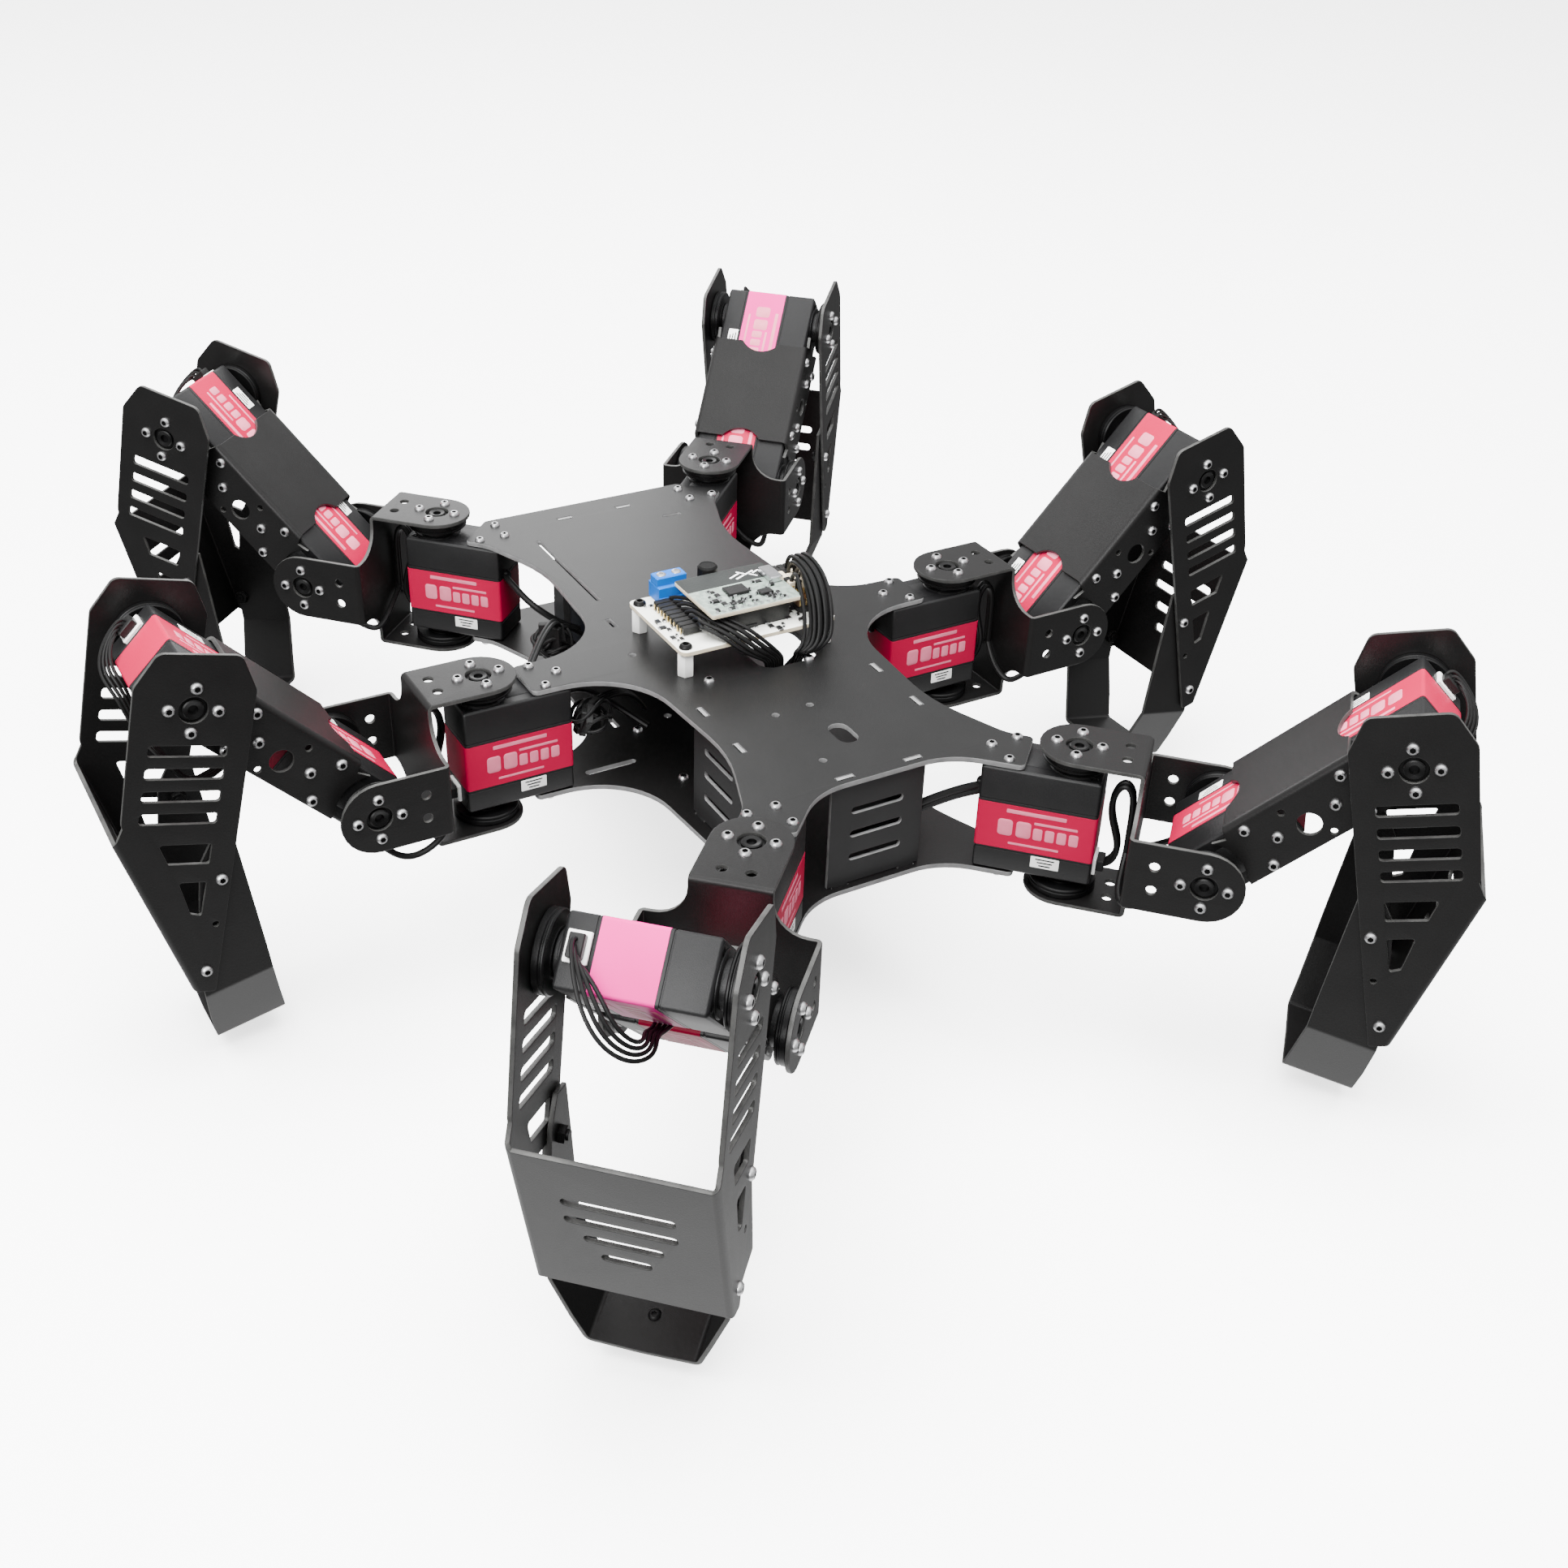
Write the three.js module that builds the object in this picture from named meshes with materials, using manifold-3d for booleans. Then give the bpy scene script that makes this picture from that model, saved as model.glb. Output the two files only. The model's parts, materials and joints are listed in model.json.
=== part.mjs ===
// Six-legged walking robot kit: a sheet-metal chassis of two plates and four slotted panels,
// six legs of three double-shaft servos each, and a two-board controller on top.
// Millimetres, +Z up, +Y towards the chassis's straight end. The origin is on the floor under
// the middle of the chassis.
import * as THREE from "three";
import { mergeVertices } from "three/addons/utils/BufferGeometryUtils.js";
import Module from "manifold-3d";

const wasm = await Module();
wasm.setup();

// ---------------------------------------------------------------- driving dimensions
const SHEET = 1.5; // sheet metal of every bracket
const PLATE = 2; // sheet metal of the two chassis plates
const GAP = 0.3; // clearance between neighbouring pieces
const BEND = 2; // outer radius of a sheet-metal bend
const FACET = Math.PI / 4; // largest turn of one facet on a small round stretch

const HIP_HEIGHT = 85; // floor to the middle of the hip servos
const CORNER_HIP = { x: 61.3, y: 129.8 }; // hip axes of the four corner legs
const MIDDLE_HIP_X = 96.2; // hip axes of the two middle legs

// A servo lies with its shaft along its own Z; the shaft is near one end of its length.
const SERVO = {
  length: 40,
  width: 20,
  height: 40,
  shaftInset: 10, // end of the case to the shaft
  span: 53.4, // across the outer faces of the two horns
  bossRadius: 6.5,
  bossHeight: 2.4,
};
const HORN = { radius: 11.4, hubHeight: 3.6 };
const SERVO_FACE = SERVO.height / 2;
const HORN_FACE = SERVO.span / 2; // where a horn meets its bracket
const ARM_OUTER = HORN_FACE + SHEET; // outer face of each bracket arm

const COXA = { hipToWeb: 23.2, webToPitch: 24, armWidth: 26, cornerRadius: 11 };
const PITCH_RADIUS = COXA.hipToWeb + COXA.webToPitch; // hip axis to pitch axis
const FEMUR = {
  pitchToKnee: 76.9,
  restAngle: 46, // degrees above the horizontal
  webEnd: 15.3, // each end of the top web, measured from the nearest axis
  notchDepth: 4.4,
  notchWidth: 17,
  flangeEnd: 13, // radius of the arc that clears each servo shaft
  holeRadius: 4,
};
const TIBIA = {
  restAngle: 75.3, // degrees below the horizontal
  topAbove: 18.5, // knee axis to the top edge
  topHalfWidth: 12.5,
  shoulderAbove: 7,
  halfWidth: 18.5,
  elbow: 47.5, // knee axis down to the outer corner
  bottom: 103,
  toeOuter: -13,
  toeInner: -20,
  slotFirst: 13.9,
  slotPitch: 7.87,
  slotCount: 4,
  slotLength: 23,
  slotHeight: 3.2,
  webSlotFirst: 19.5, // from the elbow along the web
  webSlotPitch: 8.4,
  webSlotWidths: [31, 31, 22, 14],
  webSlotHeight: 2.9,
  webNarrowing: 3, // each side of the web narrows by this at the toe
};
// The two windows in each tibia flange, in the flange's own axes.
const TIBIA_WINDOW = { top: 46.8, bottom: 54, inner: -11.6, outerTop: 5, outerBottom: 1.2 };
const TIBIA_POINTED = { top: 60.8, bottom: 73.4, inner: -11.6, outerTop: -2.8, outerBottom: -8 };
const FOOT = {
  tilt: 26, // degrees that the strap turns inwards from the tibia
  bendDepth: 103.3, // along the turned axis, from the knee axis to the cheeks
  soleDepth: 129.2, // and on to the underside of the sole
  soleHalfWidth: 16.5,
  padAcross: 21, // outwards from the knee axis to the pad, across the turned axis
  padRadius: 6.5,
};
// The strap's outline from the side, in the tibia's axes: top, inner edge, sole, outer edge.
const FOOT_SIDE = [
  [46, -12, 3],
  [46, -19],
  [96.5, -38.8],
  [123, -50.7],
  [134, -28],
  [107.5, -18],
  [97, -13.8, 3],
  [56, -9, 3],
];
const CHASSIS = {
  inner: SERVO_FACE + GAP, // inner face of each plate, from the middle
  armHalfWidth: 9.8,
  armEnd: 16, // hip axis to the end of the plate arm
  waist: 39.3, // half-width of the plates between two legs
  waistY: 75,
  waistRadius: 60,
  shoulder: { x: 50.5, y: 105.2, radius: 20 }, // where a corner arm's edge turns
  middleArm: { x: 43.4, y: 10.5, radius: 28 }, // where a middle arm's edge turns
  rearEdge: { x: 25.4, y: -107.7, radius: 26 },
  panelWidth: 36,
  panelTab: 26, // between the tabs of one panel
  tabLength: 6,
  sidePanel: { x: 34.6, y: -60.5 },
  rearPanelY: -104.5,
  frontPanelY: 114.2,
};
const OPENING = { x: 10, y: -18.5, width: 24, depth: 26, radius: 6 }; // cable opening
const STRAP_SLOT = { x: -31.3, y: 70.8, width: 1.8, length: 57 };
const PANEL_SLOT = { length: 20, height: 2.4, first: 8.6, pitch: -9.2, count: 3 };
const BOARD = { width: 62, depth: 44, y: -3.6, standoff: 9, thickness: 1.6, hole: 3 };
const UPPER_BOARD = { x: 1, y: -6, width: 36, depth: 30, above: 7.6 };
const BATTERY = { y: 76, width: 46, length: 62, height: 30 };
// What stands on the boards: x and y ranges (mm) and height above the board.
const LEFT_PINS = { x: [-25, -18], y: [-15, 9], height: 2.5 };
const RIGHT_PINS = { x: [20.5, 29], y: [-17, 7], height: 9 };
const CAPACITOR = { x: 1, y: 14, radius: 4, height: 9 };
const TERMINAL = { x: [-22, -10], y: [10.5, 19.5], height: 10 };
const SOCKET = { half: 14, thick: 2.6, offsets: [-11.7, 7.15] }; // between the two boards
const CHIP = { half: 4, y: [-10, -4], height: 1.2 };
const SUNK = 0.5; // how far a part is let into its board, so that the two are one solid

// ---------------------------------------------------------------- materials
const metal = new THREE.MeshStandardMaterial({ color: 0x2a2a2c, roughness: 0.5, metalness: 0.6 });
const plastic = new THREE.MeshStandardMaterial({ color: 0x1b1c1e, roughness: 0.55, metalness: 0 });
const rubber = new THREE.MeshStandardMaterial({ color: 0x121212, roughness: 0.85, metalness: 0 });
const circuit = new THREE.MeshStandardMaterial({ color: 0xe8e8e2, roughness: 0.45, metalness: 0 });
const shadeCircuit = new THREE.MeshStandardMaterial({ color: 0x3c4a44, roughness: 0.5, metalness: 0 });
const blueWrap = new THREE.MeshStandardMaterial({ color: 0x2b4f8f, roughness: 0.4, metalness: 0 });
const terminalBlue = new THREE.MeshStandardMaterial({ color: 0x2a86d8, roughness: 0.4, metalness: 0 });
const cableBlack = new THREE.MeshStandardMaterial({ color: 0x0d0d0d, roughness: 0.7, metalness: 0 });

// ---------------------------------------------------------------- outlines
// Turns corners [x, y, radius] into points, with an arc of that radius at each corner.
function rounded(corners, facet = FACET) {
  const points = [];
  corners.forEach(([x, y, radius = 0], i) => {
    const here = new THREE.Vector2(x, y);
    const before = corners.at(i - 1);
    const after = corners[(i + 1) % corners.length];
    if (radius <= 0) {
      points.push(here);
      return;
    }
    const back = new THREE.Vector2(before[0] - x, before[1] - y).normalize();
    const on = new THREE.Vector2(after[0] - x, after[1] - y).normalize();
    const half = Math.acos(THREE.MathUtils.clamp(back.dot(on), -1, 1)) / 2;
    const turn = Math.PI - 2 * half;
    const middle = back.clone().add(on).normalize();
    const centre = here.clone().addScaledVector(middle, radius / Math.sin(half));
    const start = here.clone().addScaledVector(back, radius / Math.tan(half)).sub(centre);
    const way = Math.sign(back.x * on.y - back.y * on.x) * -1;
    const steps = Math.max(1, Math.ceil(turn / facet));
    for (let k = 0; k <= steps; k++) {
      const spun = start.clone().rotateAround(new THREE.Vector2(), (way * turn * k) / steps);
      points.push(spun.add(centre));
    }
  });
  return points;
}

function circle(x, y, radius, sides = 12) {
  return Array.from({ length: sides }, (_, k) => {
    const angle = (2 * Math.PI * (k + 0.5)) / sides;
    return new THREE.Vector2(x + radius * Math.cos(angle), y + radius * Math.sin(angle));
  });
}

function rectangle(x, y, width, height, radius = 0) {
  const right = x + width / 2;
  const left = x - width / 2;
  const top = y + height / 2;
  const bottom = y - height / 2;
  return rounded([
    [left, bottom, radius],
    [right, bottom, radius],
    [right, top, radius],
    [left, top, radius],
  ]);
}

// An arm of a bracket: straight sides from x0, and a round end about (x, 0).
function armOutline(x0, x, halfWidth) {
  const points = [new THREE.Vector2(x0, halfWidth), new THREE.Vector2(x0, -halfWidth)];
  const way = Math.sign(x - x0);
  const steps = 8;
  for (let k = 0; k <= steps; k++) {
    const angle = -Math.PI / 2 + (Math.PI * k) / steps;
    points.push(new THREE.Vector2(x + way * halfWidth * Math.cos(angle), halfWidth * Math.sin(angle)));
  }
  return points;
}

// ---------------------------------------------------------------- solids
function manifoldOf(geometry) {
  const plain = geometry.clone();
  plain.deleteAttribute("normal");
  plain.deleteAttribute("uv");
  const merged = mergeVertices(plain, 1e-4);
  return new wasm.Manifold(
    new wasm.Mesh({
      numProp: 3,
      vertProperties: new Float32Array(merged.attributes.position.array),
      triVerts: new Uint32Array(merged.index.array),
    }),
  );
}

// The directions that an outline's x and y take, and the direction it is extruded in.
const PLANES = {
  xy: new THREE.Matrix4(),
  xz: new THREE.Matrix4().makeBasis(
    new THREE.Vector3(1, 0, 0),
    new THREE.Vector3(0, 0, 1),
    new THREE.Vector3(0, -1, 0),
  ),
  yz: new THREE.Matrix4().makeBasis(
    new THREE.Vector3(0, 1, 0),
    new THREE.Vector3(0, 0, 1),
    new THREE.Vector3(1, 0, 0),
  ),
};

// An outline extruded between two heights along its plane's normal.
function prism(points, from, to, plane) {
  const depth = to - from;
  const geometry = new THREE.ExtrudeGeometry(new THREE.Shape(points), { depth, bevelEnabled: false });
  geometry.translate(0, 0, plane === "xz" ? -to : from);
  return manifoldOf(geometry.applyMatrix4(PLANES[plane]));
}

// The same with holes cut right through it.
function slab(points, from, to, { plane = "xy", holes = [] } = {}) {
  const whole = prism(points, from, to, plane);
  return holes.reduce((left, hole) => left.subtract(prism(hole, from - 1, to + 1, plane)), whole);
}

function box(x0, x1, y0, y1, z0, z1) {
  const geometry = new THREE.BoxGeometry(x1 - x0, y1 - y0, z1 - z0);
  return manifoldOf(geometry.translate((x0 + x1) / 2, (y0 + y1) / 2, (z0 + z1) / 2));
}

function disc(x, y, radius, z0, z1, sides = 12) {
  return slab(circle(x, y, radius, sides), z0, z1);
}

const join = (...solids) => solids.reduce((whole, piece) => whole.add(piece));

function meshOf(solid, name, material) {
  const made = solid.getMesh();
  const geometry = new THREE.BufferGeometry();
  geometry.setAttribute("position", new THREE.BufferAttribute(new Float32Array(made.vertProperties), 3));
  geometry.setIndex(new THREE.BufferAttribute(new Uint32Array(made.triVerts), 1));
  geometry.computeVertexNormals();
  const mesh = new THREE.Mesh(geometry, material);
  mesh.name = name;
  return mesh;
}

// A closed U of sheet: two arms joined by a web, both bends round. Arms reach back from the
// web's outer face at x = web to x = back, with their outer faces at +-half.
function uSection(web, back, half) {
  const way = Math.sign(web - back);
  const inner = BEND - SHEET;
  const edge = [
    [back, half],
    [web, half, BEND],
    [web, -half, BEND],
    [back, -half],
    [back, -half + SHEET],
    [web - way * SHEET, -half + SHEET, inner],
    [web - way * SHEET, half - SHEET, inner],
    [back, half - SHEET],
  ];
  return rounded(edge);
}

// ---------------------------------------------------------------- servo
// The shaft is the local Z axis; the case reaches towards -X.
function servoSolid() {
  const far = -(SERVO.length - SERVO.shaftInset);
  const wide = SERVO.width / 2;
  const corner = 1;
  const outline = rounded(
    [
      [far, -wide, corner],
      [SERVO.shaftInset, -wide, corner],
      [SERVO.shaftInset, wide, corner],
      [far, wide, corner],
    ],
    Math.PI / 2,
  );
  const top = SERVO_FACE + SERVO.bossHeight;
  return join(
    slab(outline, -SERVO_FACE, SERVO_FACE),
    disc(0, 0, SERVO.bossRadius, -top, top),
  );
}

// A horn pair fastened inside the two arms of a bracket, about the local Z axis.
function hornPair() {
  const inside = HORN_FACE - HORN.hubHeight;
  const middle = HORN_FACE + SHEET / 2;
  return [disc(0, 0, HORN.radius, inside, middle), disc(0, 0, HORN.radius, -middle, -inside)];
}

// ---------------------------------------------------------------- hip bracket
// Hip axis at the origin along Z, pitch axis at x = PITCH_RADIUS along Y.
function coxaSolid() {
  const half = COXA.armWidth / 2;
  const web = COXA.hipToWeb;
  const hipArms = slab(uSection(web, -half, ARM_OUTER), -half, half, { plane: "xz" }).intersect(
    slab(armOutline(web + 1, 0, half), -ARM_OUTER - 1, ARM_OUTER + 1),
  );
  const reach = PITCH_RADIUS + half;
  const sideArms = slab(uSection(web - SHEET, reach, ARM_OUTER), -half, half).intersect(
    slab(armOutline(web - SHEET - 1, PITCH_RADIUS, half), -ARM_OUTER - 1, ARM_OUTER + 1, {
      plane: "xz",
    }),
  );
  const fillet = COXA.cornerRadius;
  const cross = slab(
    rounded([
      [half, -half - fillet],
      [half, -half, fillet],
      [half + fillet, -half],
      [half + fillet, half],
      [half, half, fillet],
      [half, half + fillet],
      [-half, half + fillet],
      [-half, half, fillet],
      [-half - fillet, half],
      [-half - fillet, -half],
      [-half, -half, fillet],
      [-half, -half - fillet],
    ]),
    web - SHEET,
    web,
    { plane: "yz" },
  );
  const hipHorns = hornPair();
  const pitchHorns = hornPair().map((horn) => horn.rotate([90, 0, 0]).translate([PITCH_RADIUS, 0, 0]));
  return join(hipArms, sideArms, cross, ...hipHorns, ...pitchHorns);
}

// ---------------------------------------------------------------- femur bracket
// Pitch axis at the origin along Y, knee axis at x = pitchToKnee; the web is on the +Z side.
function femurSolid() {
  const outer = SERVO_FACE + GAP + SHEET;
  const wide = SERVO.width / 2;
  const top = wide + GAP + SHEET;
  const long = FEMUR.pitchToKnee;
  const section = rounded([
    [-outer, -wide],
    [-outer, top, BEND],
    [outer, top, BEND],
    [outer, -wide],
    [outer - SHEET, -wide],
    [outer - SHEET, top - SHEET, BEND - SHEET],
    [-outer + SHEET, top - SHEET, BEND - SHEET],
    [-outer + SHEET, -wide],
  ]);
  const channel = slab(section, 0, long, { plane: "yz" });
  const shaftArc = (x, way) =>
    Array.from({ length: 6 }, (_, k) => {
      const angle = -Math.PI / 4 + (Math.PI / 2) * (k / 5);
      const radius = FEMUR.flangeEnd;
      return [x + way * radius * Math.cos(angle), way * radius * Math.sin(angle)];
    });
  const side = [
    ...shaftArc(0, 1),
    [FEMUR.webEnd, top + 1],
    [long - FEMUR.webEnd, top + 1],
    ...shaftArc(long, -1),
    [long - FEMUR.flangeEnd * Math.SQRT1_2, -wide - 1],
    [FEMUR.flangeEnd * Math.SQRT1_2, -wide - 1],
  ].map(([x, z]) => new THREE.Vector2(x, z));
  const trimmed = channel.intersect(
    slab(side, -outer - 1, outer + 1, { plane: "xz", holes: [circle(long / 2, -1, FEMUR.holeRadius)] }),
  );
  const notchRadius = (FEMUR.notchWidth ** 2 / 4 + FEMUR.notchDepth ** 2) / (2 * FEMUR.notchDepth);
  const notch = (x) => disc(x, 0, notchRadius, wide - 1, top + 1, 32);
  const offset = FEMUR.webEnd + FEMUR.notchDepth - notchRadius;
  return trimmed.subtract(notch(offset)).subtract(notch(long - offset));
}

// ---------------------------------------------------------------- tibia bracket
// Knee axis at the origin along Y, +X down the tibia, +Z outwards.
function tibiaOutline() {
  return rounded([
    [-TIBIA.topAbove, -TIBIA.topHalfWidth, 1],
    [-TIBIA.shoulderAbove, -TIBIA.halfWidth, 1],
    [TIBIA.bottom, TIBIA.toeInner, 1],
    [TIBIA.bottom, TIBIA.toeOuter, 1],
    [TIBIA.elbow, TIBIA.halfWidth],
    [TIBIA.elbow - 8, TIBIA.halfWidth - 1.5, 4],
    [-TIBIA.shoulderAbove, TIBIA.halfWidth, 1],
    [-TIBIA.topAbove, TIBIA.topHalfWidth, 1],
  ]);
}

function tibiaHoles() {
  const slots = Array.from({ length: TIBIA.slotCount }, (_, k) =>
    rectangle(TIBIA.slotFirst + k * TIBIA.slotPitch, 0, TIBIA.slotHeight, TIBIA.slotLength),
  );
  const window = ({ top, bottom, inner, outerTop, outerBottom }) =>
    rounded([
      [top, inner],
      [bottom, inner],
      [bottom, outerBottom],
      [top, outerTop],
    ]);
  return [...slots, window(TIBIA_WINDOW), window(TIBIA_POINTED)];
}

function tibiaSolid() {
  const outer = ARM_OUTER;
  const flanges = slab(tibiaOutline(), -outer, outer, { plane: "xz", holes: tibiaHoles() }).subtract(
    slab(rectangle(40, 0, 200, 2 * HORN_FACE), -60, 60),
  );
  // The web closes the slanted outer edge, from the elbow to the toe.
  const run = TIBIA.bottom - TIBIA.elbow;
  const rise = TIBIA.toeOuter - TIBIA.halfWidth;
  const length = Math.hypot(run, rise);
  const slope = (Math.atan2(rise, run) * 180) / Math.PI;
  const webSlots = TIBIA.webSlotWidths.map((wide, k) =>
    rectangle(TIBIA.webSlotFirst + k * TIBIA.webSlotPitch, 0, TIBIA.webSlotHeight, wide),
  );
  const start = 2 * GAP;
  const end = length - 2 * GAP;
  const toe = outer - TIBIA.webNarrowing;
  const narrowFrom = length - 2 * TIBIA.webNarrowing;
  const web = slab(
    rounded([
      [start, -outer],
      [narrowFrom, -outer],
      [end, -toe],
      [end, toe],
      [narrowFrom, outer],
      [start, outer],
    ]),
    -SHEET,
    0,
    { holes: webSlots },
  )
    .rotate([0, -slope, 0])
    .translate([TIBIA.elbow, 0, TIBIA.halfWidth]);
  const horns = hornPair().map((horn) => horn.rotate([90, 0, 0]));
  return join(flanges, web, ...horns);
}

// ---------------------------------------------------------------- foot strap and pad
// A strap of two flanges, two slanted cheeks and a sole, bent across a line that is turned
// inwards from the tibia. In the tibia's axes, as tibiaSolid is.
function footSolid() {
  const outer = HORN_FACE - GAP;
  const inner = outer - SHEET;
  const sole = FOOT.soleHalfWidth;
  const { bendDepth, soleDepth } = FOOT;
  const section = [
    [0, outer],
    [bendDepth, outer],
    [soleDepth, sole],
    [soleDepth, -sole],
    [bendDepth, -outer],
    [0, -outer],
    [0, -inner],
    [bendDepth, -inner],
    [soleDepth - SHEET, -sole + SHEET],
    [soleDepth - SHEET, sole - SHEET],
    [bendDepth, inner],
    [0, inner],
  ].map(([x, y]) => new THREE.Vector2(x, y));
  const strap = slab(section, -80, 40).rotate([0, FOOT.tilt, 0]);
  return strap.intersect(prism(rounded(FOOT_SIDE), -outer - 1, outer + 1, "xz"));
}

// A rubber foot with a round end, long enough to stand on the floor.
function padSolid() {
  const knee = kneePlace();
  const lean = THREE.MathUtils.degToRad(TIBIA.restAngle + FOOT.tilt);
  const across = FOOT.padAcross;
  const soleHeight =
    knee.z - FOOT.soleDepth * Math.sin(lean) + across * Math.cos(lean) + HIP_HEIGHT;
  const straight = (soleHeight - FOOT.padRadius) / Math.sin(lean);
  const profile = [new THREE.Vector2(0, GAP), new THREE.Vector2(FOOT.padRadius, GAP)];
  const steps = 4;
  for (let k = 0; k <= steps; k++) {
    const angle = (Math.PI / 2) * (k / steps);
    profile.push(
      new THREE.Vector2(
        FOOT.padRadius * Math.cos(angle),
        straight + FOOT.padRadius * Math.sin(angle),
      ),
    );
  }
  const turned = new THREE.LatheGeometry(profile, 12);
  turned.rotateZ(-Math.PI / 2);
  turned.translate(FOOT.soleDepth, 0, across);
  return manifoldOf(turned).rotate([0, FOOT.tilt, 0]);
}

// ---------------------------------------------------------------- chassis
// One side of the plate's edge, from the front end to the rear end, as corners with radii.
function plateOutline() {
  const { armHalfWidth: half, armEnd } = CHASSIS;
  const slant = Math.SQRT1_2;
  const armCorner = (side, end) => {
    const out = -armEnd * slant;
    const x = CORNER_HIP.x + out + side * half * slant;
    const y = CORNER_HIP.y + out - side * half * slant;
    return [x, end * y, 2];
  };
  const middle = MIDDLE_HIP_X - armEnd;
  const { waist, waistY, waistRadius, shoulder, middleArm, rearEdge } = CHASSIS;
  const right = [
    armCorner(-1, 1),
    armCorner(1, 1),
    [shoulder.x, shoulder.y, shoulder.radius],
    [waist, waistY, waistRadius],
    [middleArm.x, middleArm.y, middleArm.radius],
    [middle, half, 2],
    [middle, -half, 2],
    [middleArm.x, -middleArm.y, middleArm.radius],
    [waist, -waistY, waistRadius],
    [shoulder.x, -shoulder.y, shoulder.radius],
    armCorner(1, -1),
    armCorner(-1, -1),
    [rearEdge.x, rearEdge.y, rearEdge.radius],
  ];
  const left = right.map(([x, y, radius]) => [-x, y, radius]).reverse();
  return rounded([...right, ...left], Math.PI / 12);
}

// The four slotted panels: where the middle of each is, and whether it stands across.
const PANELS = [
  { name: "panel_rear_end", x: 0, y: CHASSIS.rearPanelY, across: false },
  { name: "panel_front_end", x: 0, y: CHASSIS.frontPanelY, across: false },
  { name: "panel_rear_left", x: -CHASSIS.sidePanel.x, y: CHASSIS.sidePanel.y, across: true },
  { name: "panel_rear_right", x: CHASSIS.sidePanel.x, y: CHASSIS.sidePanel.y, across: true },
];

function tabHoles() {
  const reach = CHASSIS.tabLength + 2 * GAP;
  const thin = SHEET + 2 * GAP;
  return PANELS.flatMap(({ x, y, across }) =>
    [-1, 1].map((side) => {
      const shift = (side * CHASSIS.panelTab) / 2;
      return across ? rectangle(x, y + shift, thin, reach) : rectangle(x + shift, y, reach, thin);
    }),
  );
}

const strapSlot = () => rectangle(STRAP_SLOT.x, STRAP_SLOT.y, STRAP_SLOT.width, STRAP_SLOT.length);
const cableOpening = () =>
  rectangle(OPENING.x, OPENING.y, OPENING.width, OPENING.depth, OPENING.radius);

function plateSolid(z0, z1, holes) {
  return slab(plateOutline(), z0, z1, { holes: [...tabHoles(), ...holes] });
}

function panelSolid(across) {
  const height = CHASSIS.inner - GAP;
  const half = CHASSIS.panelWidth / 2;
  const tabTop = CHASSIS.inner + PLATE;
  const tab = CHASSIS.tabLength / 2;
  const shift = CHASSIS.panelTab / 2;
  const edge = (way) =>
    [-1, 1].flatMap((side) => {
      const x = way * side * shift;
      return [
        [x - way * tab, way * -height],
        [x - way * tab, way * -tabTop],
        [x + way * tab, way * -tabTop],
        [x + way * tab, way * -height],
      ];
    });
  const outline = [
    [-half, -height],
    ...edge(1),
    [half, -height],
    [half, height],
    ...edge(-1),
    [-half, height],
  ].map(([x, z]) => new THREE.Vector2(x, z));
  const slots = Array.from({ length: PANEL_SLOT.count }, (_, k) =>
    rectangle(0, PANEL_SLOT.first + k * PANEL_SLOT.pitch, PANEL_SLOT.length, PANEL_SLOT.height),
  );
  const panel = slab(outline, -SHEET / 2, SHEET / 2, { plane: "xz", holes: slots });
  return across ? panel.rotate([0, 0, 90]) : panel;
}

// ---------------------------------------------------------------- controller and battery
const DECK = CHASSIS.inner + PLATE; // top face of the top plate, from the middle of the servos
const BOARD_LOW = DECK + BOARD.standoff;
const BOARD_TOP = BOARD_LOW + BOARD.thickness;

const boardHoles = () =>
  [-1, 1].flatMap((sx) =>
    [-1, 1].map((sy) => [sx * (BOARD.width / 2 - BOARD.hole), BOARD.y + sy * (BOARD.depth / 2 - BOARD.hole)]),
  );

// The servo controller board on four nylon standoffs, with its connectors.
function controllerSolid() {
  const board = slab(rectangle(0, BOARD.y, BOARD.width, BOARD.depth, 2), BOARD_LOW, BOARD_TOP);
  const standoffs = boardHoles().map(([x, y]) => disc(x, y, BOARD.hole, DECK + GAP, BOARD_LOW + SUNK, 6));
  const pins = ({ x, y, height }) => box(...x, ...y, BOARD_LOW + SUNK, BOARD_TOP + height);
  const { x, y, radius, height } = CAPACITOR;
  const capacitor = disc(x, y, radius, BOARD_LOW + SUNK, BOARD_TOP + height);
  return join(board, ...standoffs, pins(LEFT_PINS), pins(RIGHT_PINS), capacitor);
}

function terminalSolid() {
  return box(...TERMINAL.x, ...TERMINAL.y, BOARD_TOP + GAP, BOARD_TOP + TERMINAL.height);
}

// The plug-in board above the controller, on its own pin sockets.
function upperBoardSolid() {
  const { x, y, width, depth, above } = UPPER_BOARD;
  const low = BOARD_TOP + above;
  const board = slab(rectangle(x, y, width, depth, 1), low, low + BOARD.thickness);
  const sockets = SOCKET.offsets.map((offset) => {
    const middle = y + offset;
    const half = SOCKET.thick / 2;
    return box(x - SOCKET.half, x + SOCKET.half, middle - half, middle + half, BOARD_TOP + GAP, low + SUNK);
  });
  const top = low + BOARD.thickness + CHIP.height;
  const chip = box(x - CHIP.half, x + CHIP.half, y + CHIP.y[0], y + CHIP.y[1], low + SUNK, top);
  return join(board, ...sockets, chip);
}

function batterySolid() {
  const { y, width, length, height } = BATTERY;
  const bottom = -CHASSIS.inner + GAP;
  return slab(rectangle(0, y, width, length, 3), bottom, bottom + height);
}

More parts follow.
